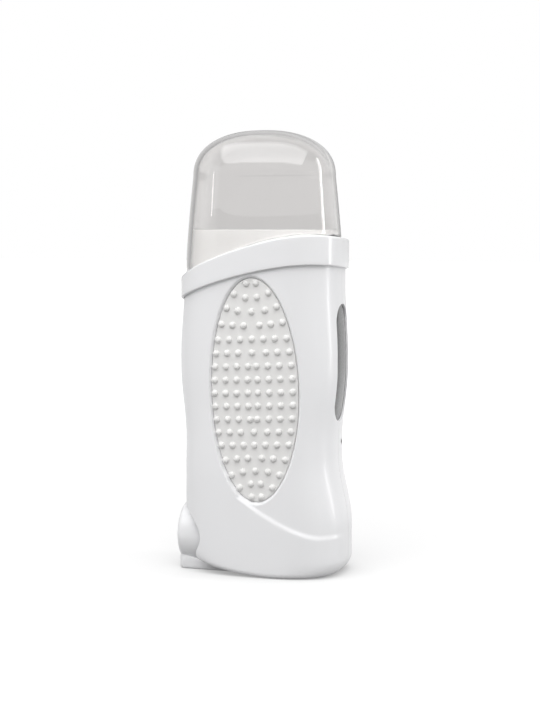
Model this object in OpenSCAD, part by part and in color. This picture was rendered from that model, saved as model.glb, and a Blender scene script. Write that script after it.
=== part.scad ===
// Hand-held roll-on wax heater, standing upright on its base.
// Origin: middle of the body on the ground. +Z up, grip pad faces -Y,
// level window faces +X, mains inlet faces -X. Millimetres.

/* [Overall] */
// Height from the ground to the top of the cap
overall_h = 206.6; // [198:0.2:220]
// Depth of the body, front to back
body_depth = 50; // [48:0.5:56]
// Squareness of the body's cross-section (2 is an ellipse)
squareness = 3; // [2.6:0.1:3.6]

/* [Body shells] */
// Width across the waist
waist_w = 72.6; // [70:0.2:78]
// Height of the waist
waist_z = 61; // [56:0.5:64]
// Width across the bulge behind the grip pad
bulge_w = 78.1; // [74:0.1:84]
// Height of the bulge
bulge_z = 100; // [96:0.5:106]
// Width of the shoulder inside the collar
shoulder_w = 75.3; // [74:0.1:80]
// How much less the shoulder reaches to the left
shoulder_in = 0.6; // [0:0.1:1]
// How far the right side flares out at the foot
flare = 5; // [0:0.5:8]
// Height of the widest part of the flare
flare_z = 22; // [16:0.5:28]
// Wall of the two shells
wall = 2.2; // [1.8:0.1:2.6]
// Rounding of the bottom corners, seen from the front
base_round = 8; // [5:0.5:12]
// Rounding of the bottom edge, seen from the side
base_edge = 2.5; // [1:0.25:4]
// Rise of the underside at the left side, above the foot
rise = 7.2; // [4:0.2:9]
// Where the rise starts, right of the middle
rise_x = 10; // [0:1:16]

/* [Sweep line] */
// Height of the raised step on the front
sweep_step = 0.9; // [0.4:0.1:1.4]
// Width of the step's slope
sweep_slope = 3.6; // [2:0.2:5]
// Height of the step's lower end
sweep_z = 19.5; // [16:0.5:24]
// Reach of the step's lower end, right of the middle
sweep_x = 33; // [28:0.5:36]
// Height where the step leaves the grip oval
sweep_top_z = 37.4; // [34:0.2:42]

/* [Grip pad] */
// Width of the oval recess
oval_w = 43.8; // [38:0.2:48]
// Height of the oval recess
oval_h = 105.4; // [90:0.2:110]
// Height of the middle of the oval
oval_z = 86.9; // [84:0.1:90]
// Sideways place of the oval
oval_x = 2.6; // [0:0.1:4]
// Lean of the oval to the left, in degrees
oval_lean = 1.5; // [0:0.1:3]
// Depth of the recess, from the shell to the pad
oval_depth = 1.2; // [0.8:0.1:1.3]
// Thickness of the pad
pad_t = 0.9; // [0.6:0.1:1]
// Radius of one grip pip
pip_r = 1.5; // [1:0.1:1.8]
// Distance between pips in a row
pip_pitch = 5.45; // [4.6:0.05:6.5]
// Distance from the last pip to the end of the oval
pip_end_gap = 3.86; // [3:0.02:5]
// Rows above and below the middle one
pip_rows = 8; // [6:1:8]
// Length of the shortest row, at the ends of the oval
row_min = 4.6; // [4:0.1:6]
// How far the middle rows sag below even spacing
row_sag = 1.1; // [0:0.1:2]
// How far the middle rows shift to the left
row_shift = 0.4; // [0:0.1:0.4]
// Tilt of the rows, in degrees
row_tilt = 2.6; // [0:0.1:5]
// How far the end rows bend round the ends of the oval
row_bend = 2; // [0:0.1:3]

/* [Collar] */
// Height of the collar's top edge at the right
collar_z = 158.4; // [154:0.2:159]
// Height of the band at the right
collar_h = 13.6; // [11:0.2:16]
// Drop of the top edge from right to left
collar_drop = 19.5; // [8:0.5:20]
// Drop of the lower edge from right to left
collar_low_drop = 15.9; // [8:0.1:18]
// Fall towards the back, as a slope
collar_fall = 0.07; // [0:0.01:0.1]
// How far the collar stands proud of the shells
collar_proud = 1.5; // [0.8:0.1:2.4]

/* [Cap] */
// Width of the cap at its open end
cap_w = 73; // [71:0.2:74]
// Width of the cap where the dome starts
cap_dome_w = 66.2; // [62:0.2:70]
// Height where the dome starts
cap_dome_z = 185; // [178:0.5:190]
// How much wider than deep the cap is
cap_oblong = 25; // [24:0.5:27]
// Wall of the cap
cap_wall = 1.9; // [1.5:0.1:2.2]
// Clearance between the cap and the neck
cap_gap = 0.4; // [0.3:0.05:0.6]

/* [Chamber] */
// Height of the neck's rim
rim_z = 160.3; // [159:0.1:166]
// Width of the cartridge space
cell_w = 53.4; // [50:0.2:54]
// Depth of the cartridge space
cell_d = 33; // [30:0.2:33.4]
// Corner radius of the cartridge space
cell_r = 7; // [4:0.5:10]
// Wall of the chamber
cell_wall = 1.3; // [1.2:0.1:1.4]
// Height of the underside of the chamber
cell_z = 33.5; // [33:0.5:40]
// Height of the deck between the neck and the sleeve
deck_z = 146; // [140:0.5:150]

/* [Window] */
// Width of the level window
win_w = 18; // [12:0.5:18.5]
// Height of the level window
win_h = 55; // [44:0.5:56]
// Height of the middle of the window
win_z = 98.7; // [96:0.1:102]
// How deep the lens sits below the shells
lens_depth = 0.8; // [0.4:0.1:1.2]
// Thickness of the lens
lens_t = 2.6; // [2.2:0.1:3]

/* [Inlet] */
// Radius of the inlet drum
drum_r = 15; // [13:0.25:15.5]
// Where the drum's end face stands, left of the middle
drum_x = 37.9; // [35:0.1:38.5]
// Height of the drum's axis
drum_z = 16.5; // [16:0.1:18]
// Depth place of the drum's axis
drum_y = -4; // [-5:0.5:-2]
// Length of the drum
drum_len = 22.4; // [20:0.2:23]
// Opening in the shells round the drum, past its radius
drum_reveal = 4.1; // [2:0.1:4.5]
// Diameter of an inlet pin
pin_d = 2.36; // [2:0.02:2.6]
// Diameter of a pin's tail, behind the socket
tail_d = 1.9; // [1.6:0.1:2]
// Distance between the inlet pins
pin_gap = 8.6; // [8:0.1:9]
// Length of the pins inside the socket
pin_len = 9.5; // [8:0.5:10]
// Width of the socket
socket_w = 15; // [14.4:0.1:15.6]
// Height of the socket
socket_h = 8.2; // [7.8:0.1:8.6]
// Depth of the socket
socket_depth = 13; // [12:0.5:14]
// Length of the foot, from the drum's end face
foot_len = 40; // [24:0.5:41]

/* [Heater] */
// Width of the aluminium heat plate
plate_w = 38; // [34:0.5:40]
// Height of the heat plate
plate_h = 60; // [54:0.5:62]
// Height of the middle of the heat plate
plate_z = 82; // [78:0.5:83]
// Thickness of the heat plate
plate_t = 1.2; // [1:0.1:1.3]
// Width of the heating element
ptc_w = 30; // [24:0.5:32]
// Height of the heating element
ptc_h = 18; // [14:0.5:20]
// Thickness of the heating element
ptc_t = 1.9; // [1.6:0.1:2]
// Thickness of the spring clip
clip_t = 0.4; // [0.3:0.05:0.5]
// Diameter of the lamp
lamp_d = 3.8; // [3:0.1:4]
// Height of the lamp's middle
lamp_z = 98.5; // [92:0.5:104]
// Diameter of an insulated lead
lead_d = 1.6; // [1.2:0.1:1.8]

/* [Screws] */
// Shank diameter of a shell screw
screw_d = 2.6; // [2.2:0.1:3]
// Head diameter of a shell screw
head_d = 4.6; // [4:0.1:5]

/* [Hidden] */
$fn = 48;

white = [0.93, 0.93, 0.93];
pad_white = [0.88, 0.88, 0.87];
clear = [0.85, 0.86, 0.88, 0.35];
dark = [0.12, 0.12, 0.13];
steel = [0.72, 0.73, 0.75];
brass = [0.8, 0.68, 0.4];

seam = 0.15;              // gap between parts that are fitted together and don't move
rest_gap = 0.3;           // gap under the cap, where it comes to rest
half_depth = body_depth/2;
big = 300;                // reach of a cutting tool

// ---- smooth profile curves ------------------------------------------------
function smooth(t) = let(u = min(1, max(0, t))) u*u*(3 - 2*u);
function round_in(z, r) = z < r && r > 0 ? r - sqrt(max(0, r*r - pow(r - max(0, z), 2))) : 0;

// half width of the body at height z; side is positive on the right
function half_w(z, side) = waist_w/2
    + (side > 0 ? flare*(1 - smooth((z - flare_z)/(waist_z - 5 - flare_z))) : 0)
    + (bulge_w - waist_w)/2*smooth((z - waist_z - 1)/(bulge_z - 5 - waist_z))
    + (shoulder_half(side) - bulge_w/2)*smooth((z - bulge_z - 2)/34);
function shoulder_half(side) = shoulder_w/2 - (side < 0 ? shoulder_in : 0);

// rise of the underside at sideways place x, and the lift that it gives to height z
function rise_at(x) = rise*pow(max(0, rise_x - x)/(rise_x + waist_w/2), 1.5);
function lift(x, z) = rise_at(x)*max(0, 1 - z/30);

// radius of a squared ellipse in direction phi
function squircle(phi, a, b) = 1/pow(pow(abs(cos(phi))/a, squareness)
    + pow(abs(sin(phi))/b, squareness), 1/squareness);

// depth of the raised step at a point of the front
function sweep_at(x) = sweep_z + (sweep_top_z - sweep_z)
    *pow(max(0, sweep_x - x)/(sweep_x - sweep_leave), 1.45);
function sweep_rise(x, z) = sweep_step*(1 - smooth((z - 45)/40))
    *smooth(0.5 + max(sweep_at(x) - z, sweep_leave - x)/sweep_slope);
sweep_leave = oval_x - oval_w/6;   // where the step leaves the oval

// a point of the body surface: direction phi, height z, inset from the outside
function body_point(phi, z, inset, stepped = true) =
    let(a = half_w(z, cos(phi)) - inset - round_in(z - inset, base_round - inset),
        b = half_depth - inset - round_in(z - inset, base_edge - inset/2),
        r = squircle(phi, a, b), x = r*cos(phi), y = r*sin(phi))
    [x, y - (stepped && y < 0 ? sweep_rise(x, z)*smooth(-y/half_depth*4 - 0.3) : 0), z + lift(x, z)];

// depth of the front face at x, z, without the step
function front_y(x, z, inset) = let(a = half_w(z, x) - inset, b = half_depth - inset)
    -b*pow(max(0, 1 - pow(abs(x)/a, squareness)), 1/squareness);

// sideways place of the right face at y, z
function side_x(y, z, inset) = let(a = half_w(z, 1) - inset, b = half_depth - inset)
    a*pow(max(0, 1 - pow(abs(y)/b, squareness)), 1/squareness);

// ---- collar edges -----------------------------------------------------------
collar_peak = 32;         // sideways place where the collar's edges are highest
function drop_at(x) = pow(max(0, collar_peak - x)/(collar_peak + shoulder_w/2), 1.65);
function collar_top(x, y) = collar_z - collar_drop*drop_at(x) - collar_fall*(y + half_depth);
function collar_low(x, y) = collar_z - collar_h - collar_low_drop*drop_at(x)
    - collar_fall*(y + half_depth);
// the same edges in direction phi
function collar_at(phi) = squircle(phi, shoulder_half(cos(phi)) + collar_proud,
    half_depth + collar_proud)
    *[cos(phi), sin(phi)];
function top_z(phi) = let(p = collar_at(phi)) collar_top(p[0], p[1]);
function low_z(phi) = let(p = collar_at(phi)) collar_low(p[0], p[1]);

// The shells end on a plane inside the collar, which the collar's shelf lies on.
seat_slope = (collar_drop + collar_low_drop)/2/(shoulder_w + 2*collar_proud);
seat_drop = 0.4*(collar_drop + collar_low_drop)/2;
function seat_at(p) = collar_z - collar_h/2 - seat_drop + seat_slope*p[0]
    - collar_fall*(p[1] + half_depth);

// ---- cap profile -------------------------------------------------------------
cap_base_z = collar_z - collar_drop;
function cap_half(z) = let(t = (z - cap_base_z)/(cap_dome_z - cap_base_z))
    z <= cap_dome_z ? cap_w/2 - (cap_w - cap_dome_w)/2*pow(max(0, t), 1.4)
    : cap_dome_w/2*dome(z, 0);
function dome(z, inset) = pow(max(0, 1 - pow(min(1, (z - cap_dome_z)
    /(overall_h - inset - cap_dome_z)), 2.3)), 1/2.3);
function cap_half_in(z) = z <= cap_dome_z ? cap_half(z) - cap_wall
    : (cap_dome_w/2 - cap_wall)*dome(z, cap_wall);
function cap_deep(z) = z <= cap_dome_z ? cap_half(z) - cap_oblong/2
    : (cap_dome_w - cap_oblong)/2*dome(z, 0);
function cap_deep_in(z) = z <= cap_dome_z ? cap_deep(z) - cap_wall
    : ((cap_dome_w - cap_oblong)/2 - cap_wall)*dome(z, cap_wall);

// ---- solids made of rings ------------------------------------------------------
// Each ring runs anticlockwise, seen from the side that the rings advance to.
module ring_solid(rings, first, last) {
    n = len(rings[0]);
    m = len(rings);
    points = [first, for (r = rings) each r, last];
    sides = [for (k = [0:m - 2], i = [0:n - 1]) let(j = (i + 1)%n,
        a = 1 + k*n + i, b = a + n, c = 1 + (k + 1)*n + j, d = 1 + k*n + j)
        each [[a, b, c], [a, c, d]]];
    bottom = [for (i = [0:n - 1]) [0, 1 + i, 1 + (i + 1)%n]];
    top = [for (i = [0:n - 1]) [1 + m*n, 1 + (m - 1)*n + (i + 1)%n, 1 + (m - 1)*n + i]];
    polyhedron(points, concat(bottom, sides, top));
}

// A closed band: each ring is one cross-section, and the rings go all the way round.
module band_solid(rings) {
    n = len(rings[0]);
    m = len(rings);
    points = [for (r = rings) each r];
    faces = [for (k = [0:m - 1], i = [0:n - 1]) let(j = (i + 1)%n, l = (k + 1)%m)
        each [[k*n + i, l*n + j, l*n + i], [k*n + i, k*n + j, l*n + j]]];
    polyhedron(points, faces);
}

// A tube of diameter d along points, with rings square to it.
function unit(v) = v/max(1e-6, norm(v));
function bend_pt(p, i, t) = let(n = len(p), a = p[max(0, i - 1)], b = p[i],
    c = p[i + 1], d = p[min(n - 1, i + 2)])
    0.5*(2*b + (c - a)*t + (2*a - 5*b + 4*c - d)*t*t + (3*b - a - 3*c + d)*t*t*t);
function route(p, steps) = [for (i = [0:len(p) - 2], k = [0:steps - 1]) bend_pt(p, i, k/steps),
    p[len(p) - 1]];
function heading(q, p, i) = i == 0 ? unit(p[1] - p[0])
    : i == len(q) - 1 ? unit(p[len(p) - 1] - p[len(p) - 2]) : unit(q[i + 1] - q[i - 1]);
function side_of(q, p, i, s) = i == 0 ? s : let(h = heading(q, p, i), u = side_of(q, p, i - 1, s))
    unit(u - (u*h)*h);
module lead(p, d, start, steps = 4) {
    q = route(p, steps);
    rings = [for (i = [0:len(q) - 1]) let(h = heading(q, p, i), u = side_of(q, p, i, start),
        v = cross(h, u)) [for (k = [0:7]) q[i] + d/2*(cos(45*k)*u + sin(45*k)*v)]];
    ring_solid(rings, q[0], q[len(q) - 1]);
}

// ---- body -----------------------------------------------------------------------
body_heights = [0, 0.7, 2, 4.5, 8, 12, 15, 17.5, 20, 22.5, 25, 27.5, 30, 32.5, 35, 37.5, 40,
    44, 50, 57, 64, 72, 80, 90, 100, 110, 120];
inner_heights = [0, 1.5, 4, 8, 16, 24, 32, 42, 52, 62, 74, 86, 98, 110, 122];

// Half of the body as a solid, from direction from_phi over half a turn, closed along the seam.
seam_steps = 5;
module half_body(from_phi, inset, heights, steps, stepped, over) {
    function closed(arc) = let(from = arc[steps], to = arc[0]) concat(arc,
        [for (k = [1:seam_steps - 1]) from + (to - from)*k/seam_steps]);
    function level(p, z) = [p[0], p[1], p[1] == 0 ? z + lift(p[0], z) : p[2]];
    function ring(z) = [for (p = closed([for (i = [0:steps]) let(phi = from_phi + 180*i/steps,
        q = body_point(phi, z, inset, stepped)) i%steps == 0 ? [q[0], 0, q[2]] : q])) level(p, z)];
    top_ring = closed([for (i = [0:steps]) let(phi = from_phi + 180*i/steps,
        r = squircle(phi, shoulder_half(cos(phi)) - inset, half_depth - inset),
        p = [r*cos(phi), i%steps == 0 ? 0 : r*sin(phi)]) [p[0], p[1], seat_at(p) + over]]);
    middle = from_phi == 180 ? -half_depth/2 : half_depth/2;
    ring_solid(concat([for (z = heights) ring(z + inset)], [top_ring]),
        [rise_x, middle, inset], [0, middle, seat_at([0, middle]) + over]);
}

// ---- shared places -------------------------------------------------------------
cell_out_w = cell_w + 2*cell_wall;
cell_out_d = cell_d + 2*cell_wall;
cell_back = cell_out_d/2;                 // rear face of the chamber
cell_side = cell_out_w/2;                 // right face of the chamber
plate_back = cell_back + plate_t;
ptc_back = plate_back + ptc_t;
sheet_t = 0.3;
sheet_back = ptc_back + sheet_t;
boss_d = screw_d + 2.6;                   // screw pillar
screw_seat = 7;                           // the heads sit this far behind the seam
screw_reach = 9;                          // and the tips this far in front of it
sleeve_d = head_d + 2.8;                  // sleeve round a head, in the rear shell
side_screw_x = cell_side + sleeve_d/2 + seam;
low_screw_x = 31;
low_screw_z = 13;
mid_screw_x = -6;
mid_screw_z = 8.5;
screw_places = [[-side_screw_x, waist_z], [side_screw_x, waist_z],
    [mid_screw_x, mid_screw_z], [low_screw_x, low_screw_z]];
neck_drop = 35;                           // from the collar's top edge to the neck's lower edge
ledge_z = collar_z - neck_drop;           // ledges in the shells carry the neck here
neck_wall = 1.3;
tongue_w = 12;

// ---- body shells --------------------------------------------------------------------
// A slab that follows the front face inside the oval, between rings [grow, inset].
function oval_point(t, grow) = let(u = (oval_w/2 + grow)*cos(t), v = (oval_h/2 + grow)*sin(t))
    [oval_x + u*cos(oval_lean) - v*sin(oval_lean), oval_z + u*sin(oval_lean) + v*cos(oval_lean)];
module oval_slab(steps) {
    function ring(s) = [for (i = [0:47]) let(p = oval_point(7.5*i, s[0]))
        [p[0], front_y(p[0], p[1], s[1]), p[1]]];
    function heart(s) = [oval_x, front_y(oval_x, oval_z, s[1]), oval_z];
    ring_solid([for (s = steps) ring(s)], heart(steps[0]), heart(steps[len(steps) - 1]));
}
pad_rings = [-6, -12, -18];
pip_root = 0.5;           // how far a pip reaches into the pad
row_pitch = (oval_h/2 - pip_end_gap)/pip_rows;
pocket = oval_depth + pad_t;
pad_floor = 0.9;          // the shell's floor under the pad

// A slab that follows the right face inside the window, between rings [grow, inset].
function window_ring(grow) = let(r = win_w/2 + grow, s = win_h/2 - win_w/2) concat(
    [for (i = [0:12]) [r*cos(15*i), win_z + s + r*sin(15*i)]],
    [for (k = [1:6]) [-r, win_z + s - 2*s*k/7]],
    [for (i = [0:12]) [-r*cos(15*i), win_z - s - r*sin(15*i)]],
    [for (k = [1:6]) [r, win_z - s + 2*s*k/7]]);
module window_slab(steps) {
    function ring(s) = [for (p = window_ring(s[0])) [side_x(p[0], p[1], s[1]), p[0], p[1]]];
    function heart(s) = [side_x(0, win_z, s[1]), 0, win_z];
    ring_solid([for (s = steps) ring(s)], heart(steps[0]), heart(steps[len(steps) - 1]));
}
module window_slot() {
    for (s = [-1, 1]) translate([cell_side, 0, win_z + s*(win_h - win_w)/2])
        rotate([0, 90, 0]) cylinder(d = win_w, h = big);
    translate([cell_side, -win_w/2, win_z - (win_h - win_w)/2]) cube([big, win_w, win_h - win_w]);
}
module drum_opening() translate([-big, drum_y, drum_z]) rotate([0, 90, 0])
    cylinder(r = drum_r + drum_reveal, h = big + inlet_back + rest_gap, $fn = 72);
module ledge(side) {
    translate([-14, side > 0 ? neck_deep_at(ledge_z) - neck_wall : -half_depth + wall/2, ledge_z - 3])
        cube([28, half_depth - wall/2 - neck_deep_at(ledge_z) + neck_wall, 3]);
}
// A front pillar ends inside the wall that it stands on.
function pillar_len(p) = -front_y(abs(p[0]) + boss_d/2 - 0.3, p[1], wall/2);
module front_pillars() {
    for (p = screw_places) translate([p[0], 0, p[1]]) rotate([90, 0, 0])
        cylinder(d = boss_d, h = pillar_len(p));
}
// A rear pillar widens to a sleeve behind its screw's seat.
module rear_pillars() intersection() {
    half_body(0, wall/2, inner_heights, 18, false, 0);
    for (p = screw_places) translate([p[0], 0, p[1]]) rotate([-90, 0, 0]) {
        cylinder(d = boss_d, h = screw_seat);
        translate([0, 0, screw_seat - 1.2]) cylinder(d = sleeve_d, h = half_depth);
    }
}
flange_t = 2.4;
flange_front = drum_y - 17;
flange_back = drum_y + 17;
rail_t = 1.2;
rail_grip = 1.6;          // how far the rails reach over the flange
module flange_rails(side) {
    for (k = [-1, 1]) translate([inlet_back + k*(flange_t/2 + seam) - (k < 0 ? rail_t : 0), 0, 9])
        if (side < 0) translate([0, -half_depth + wall/2, 0])
            cube([rail_t, flange_front + rail_grip + half_depth - wall/2, 14]);
        else translate([0, flange_back - rail_grip, 0])
            cube([rail_t, half_depth - wall/2 - flange_back + rail_grip, 14]);
}

module front_shell() color(white) {
    difference() {
        union() {
            difference() {
                half_body(180, 0, body_heights, 36, true, 0);
                half_body(180, wall, inner_heights, 18, false, 20);
                drum_opening();
            }
            // backing of the grip pad
            oval_slab(concat([for (k = [2:-1:0]) [pad_rings[k], pocket + pad_floor]],
                [[1, pocket + pad_floor], [1, wall - 0.5]], [for (k = [0:2]) [pad_rings[k], wall - 0.5]]));
            front_pillars();
            flange_rails(-1);
            ledge(-1);
        }
        oval_slab(concat([for (k = [2:-1:0]) [pad_rings[k], pocket]],
            [[-1 - seam, pocket], [-1, pocket], [-1, oval_depth], [0, 0], [2, -3]]));
        window_slot();
        for (p = screw_places) translate([p[0], 1, p[1]]) rotate([90, 0, 0])
            cylinder(d = screw_d + 0.04, h = screw_reach + 1.3);
    }
}

module rear_shell() color(white) {
    difference() {
        union() {
            difference() {
                half_body(0, 0, body_heights, 36, false, 0);
                half_body(0, wall, inner_heights, 18, false, 20);
                drum_opening();
            }
            rear_pillars();
            flange_rails(1);
            ledge(1);
        }
        window_slot();
        for (p = screw_places) translate([p[0], -1, p[1]]) rotate([-90, 0, 0]) {
            cylinder(d = screw_d + 0.3, h = screw_seat + 3);
            translate([0, 0, screw_seat + 1]) cylinder(d = head_d + 0.5, h = big);
        }
    }
}

module grip_pad() color(pad_white) {
    oval_slab(concat([for (k = [2:-1:0]) [pad_rings[k], pocket - 0.02]],
        [[-1 - seam, pocket - 0.02], [-1 - seam, oval_depth]],
        [for (k = [0:2]) [pad_rings[k], oval_depth]]));
    for (k = [-pip_rows:pip_rows]) pip_row(k);
}
// One row of pips: set in from both ends, with one in the middle if one is left over.
module pip_row(k) {
    sag = 1 - pow(k/pip_rows, 2);
    bend = sign(k)*min(row_bend, max(0, (abs(k) - 4)*row_bend/2));
    middle_x = oval_x - k*row_pitch*tan(oval_lean) - row_shift*sag;
    middle_z = k*row_pitch - row_sag*sag;
    reach_w = oval_w/2 - 3.1;
    reach_h = oval_h/2 - 3.2;
    end = max(row_min/2, reach_w*sqrt(max(0, 1 - pow((middle_z + bend)/reach_h, 2))));
    count = floor(2*end/pip_pitch + 1.5);
    half = floor(count/2);
    curl = bend/pow(max(end, pip_pitch), 2);
    for (side = [-1, 1], i = [0:1:half - 1]) pip(side*(end - i*pip_pitch), middle_x, middle_z, curl);
    if (count%2 == 1) pip(0, middle_x, middle_z, curl);
}
module pip(u, middle_x, middle_z, curl) {
    x = middle_x + u;
    z = oval_z + middle_z + curl*u*u + u*tan(row_tilt);
    translate([x, front_y(x, z, oval_depth), z]) rotate([90, 0, 0]) rotate_extrude($fn = 20)
        intersection() {
            circle(r = pip_r);
            translate([0, -pip_root]) square(2*pip_r);
        }
}

// radius of the shells under the collar, between their last level ring and the seat
function shoulder_at(phi, z) = let(from = body_heights[len(body_heights) - 1],
    low = squircle(phi, half_w(from, cos(phi)), half_depth),
    high = squircle(phi, shoulder_half(cos(phi)), half_depth))
    low + (high - low)*(z - from)/(seat_at(high*[cos(phi), sin(phi)]) - from);
module trim_collar() {
    // outline of the band, from the neck outwards and round: [radius, height]
    function section(phi) = let(u = [cos(phi), sin(phi)], r = norm(collar_at(phi)),
        zt = top_z(phi), zl = low_z(phi), rs = squircle(phi, shoulder_half(cos(phi)), half_depth),
        rl = shoulder_at(phi, zl) + seam, ri = rs + seam,
        rn = squircle(phi, neck_half_at(zt) + seam, neck_deep_at(zt) + seam),
        rm = squircle(phi, neck_half_at(seat_at(rs*u)) + seam, neck_deep_at(seat_at(rs*u)) + seam))
        [for (p = [[rn, zt - 1], [rn + 0.01, zt - 1.01], [rm, seat_at(rm*u) + seam],
            [ri, seat_at(ri*u) + seam], [rl, zl], [r - 0.5, zl], [r, zl + 0.5], [r, zt - 0.7],
            [r - 0.7, zt], [rn + 0.8, zt]]) [p[0]*u[0], p[0]*u[1], p[1]]];
    color(white) band_solid([for (i = [0:71]) section(5*i)]);
}

// ---- chamber ----------------------------------------------------------------------------
function neck_half_at(z) = cap_half(min(z, cap_dome_z)) - cap_wall - cap_gap;
function neck_deep_at(z) = cap_deep(min(z, cap_dome_z)) - cap_wall - cap_gap;
function neck_point(phi, inset, z) = let(
    r = squircle(phi, neck_half_at(z) - inset, neck_deep_at(z) - inset)) [r*cos(phi), r*sin(phi), z];
// radius of a rectangle with rounded corners, in direction phi
function oblong(phi, a, b, r) = let(c = abs(cos(phi)), s = abs(sin(phi)),
    side = a/max(c, 1e-6), end = b/max(s, 1e-6), m = c*(a - r) + s*(b - r))
    side*s <= b - r ? side : end*c <= a - r ? end
    : m + sqrt(m*m - pow(a - r, 2) - pow(b - r, 2) + r*r);
function deck_point(phi, z) = let(r = oblong(phi, cell_side + seam, cell_back + seam,
    cell_r + cell_wall + seam)) [r*cos(phi), r*sin(phi), z];
// Neck that the cap is pushed over, with a deck that carries the chamber.
module neck_ring() color(white) band_solid([for (i = [0:71]) let(phi = 5*i, under = deck_z - deck_t) [
    neck_point(phi, neck_wall, rim_z), neck_point(phi, neck_wall, deck_z),
    deck_point(phi, deck_z), deck_point(phi, under),
    neck_point(phi, neck_wall, under), neck_point(phi, neck_wall, ledge_z),
    neck_point(phi, 0, ledge_z), neck_point(phi, 0, deck_z), neck_point(phi, 0, rim_z)]]);
module cell_outline(w, d, r) {
    for (x = [-1, 1], y = [-1, 1]) translate([x*(w/2 - r), y*(d/2 - r)]) circle(r = r);
    square([w - 2*r, d], center = true);
    square([w, d - 2*r], center = true);
}
sight_w = win_w/2;
sight_y = -sight_w/4;
deck_t = 2;               // deck of the neck ring
lip_w = 0.9;              // how far the chamber's lip reaches over the deck
lip_t = 1.4;
lip_r = cell_r + 7;       // the lip runs out at the corners, where the neck is close
module cartridge_chamber() color(white) {
    difference() {
        union() {
            translate([0, 0, cell_z]) linear_extrude(deck_z + lip_t - cell_z)
                cell_outline(cell_out_w, cell_out_d, cell_r + cell_wall);
            translate([0, 0, deck_z]) linear_extrude(lip_t)
                cell_outline(cell_out_w + 2*lip_w, cell_out_d + 2*lip_w, lip_r);
        }
        translate([0, 0, cell_z + cell_wall]) linear_extrude(big)
            cell_outline(cell_w, cell_d, cell_r);
        // opening behind the heat plate, and the sight slot behind the window
        translate([-plate_w/2 + 3, 0, plate_z - plate_h/2 + 3]) cube([plate_w - 6, big, plate_h - 6]);
        translate([0, sight_y - sight_w/2, win_z - win_h/2 + 5]) cube([big, sight_w, win_h - 10]);
    }
    for (s = [-1, 1]) clip_hook(s);
    // rails that hold the lamp holder
    for (y = [lamp_y - 3.2, lamp_y + 2])
        translate([cell_side - 0.2, y, lamp_z - 11]) cube([2, 1.2, 5]);
}
lamp_y = sight_y + sight_w/2 + 3.6;
hook_z = plate_h/2 + 2.5;   // from the plate's middle to the clip's heels
module clip_hook(s) {
    z = plate_z + s*hook_z;
    translate([-tongue_w/2, cell_back - 0.2, s > 0 ? z + 2.6 : z - 4.2]) cube([tongue_w, 2.6, 1.6]);
    translate([-tongue_w/2, cell_back + clip_t + 0.3, s > 0 ? z + 1.2 : z - 4.2])
        cube([tongue_w, 2.1 - clip_t, 3]);
}

// Leaf spring that presses the cartridge against the heat plate.
module cartridge_spring() color(steel) {
    // the rear side of the strip, from its lower end up: two feet on the wall and a bow between
    line = [[0, -spring_len/2], [0, -spring_foot], [spring_bow, -spring_flat],
        [spring_bow, spring_flat], [0, spring_foot], [0, spring_len/2]];
    last = len(line) - 1;
    translate([-spring_w/2, -cell_d/2, spring_z]) rotate([90, 0, 90]) linear_extrude(spring_w)
        polygon(concat(line, [for (k = [last:-1:0]) line[k] + [clip_t, 0]]));
}
spring_w = 14;
spring_len = 54;
spring_foot = 17;         // from the spring's middle to the inner ends of its feet
spring_flat = 5;          // half of the flat part that meets the cartridge
spring_bow = 2;
spring_z = plate_z + spring_flat;

module window_lens() color(clear) window_slab([[0.2 - win_w/2, lens_depth + lens_t],
    [-4, lens_depth + lens_t], [lens_rim, lens_depth + lens_t], [lens_rim, wall + rim_gap],
    [-seam, wall + rim_gap], [-seam, lens_depth + 0.3], [-seam - 0.4, lens_depth],
    [-4, lens_depth], [0.2 - win_w/2, lens_depth]]);
rim_gap = 0.5;            // between the lens's rim and the inside of the shells
lens_rim = 1.6;           // the lens's rim lies behind the shells, this far past the window

// ---- heater -----------------------------------------------------------------------------
module heat_plate() color([0.8, 0.81, 0.83]) translate([-plate_w/2, cell_back, plate_z - plate_h/2])
    cube([plate_w, plate_t, plate_h]);

module heating_element() color([0.35, 0.33, 0.32])
    translate([-ptc_w/2, plate_back, plate_z - ptc_h/2]) cube([ptc_w, ptc_t, ptc_h]);
module insulation_sheet() color([0.75, 0.6, 0.35])
    translate([-ptc_w/2 - 1, ptc_back, plate_z - ptc_h/2 - 1]) cube([ptc_w + 2, sheet_t, ptc_h + 2]);

module element_clip() color(steel) {
    foot = hook_z + 2;
    heel = hook_z;
    edge = plate_h/2 + 0.6;
    flat = ptc_h/2 + 3;
    // the rear side of the strip, from its upper foot down to its lower one
    line = [[cell_back, foot], [cell_back, heel], [plate_back + 0.2, edge], [sheet_back, flat],
        [sheet_back, -flat], [plate_back + 0.2, -edge], [cell_back, -heel], [cell_back, -foot]];
    last = len(line) - 1;
    translate([-tongue_w/2, 0, plate_z]) rotate([90, 0, 90]) linear_extrude(tongue_w)
        polygon(concat(line, [for (k = [last:-1:0]) line[k] + [clip_t, 0]]));
}

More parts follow.
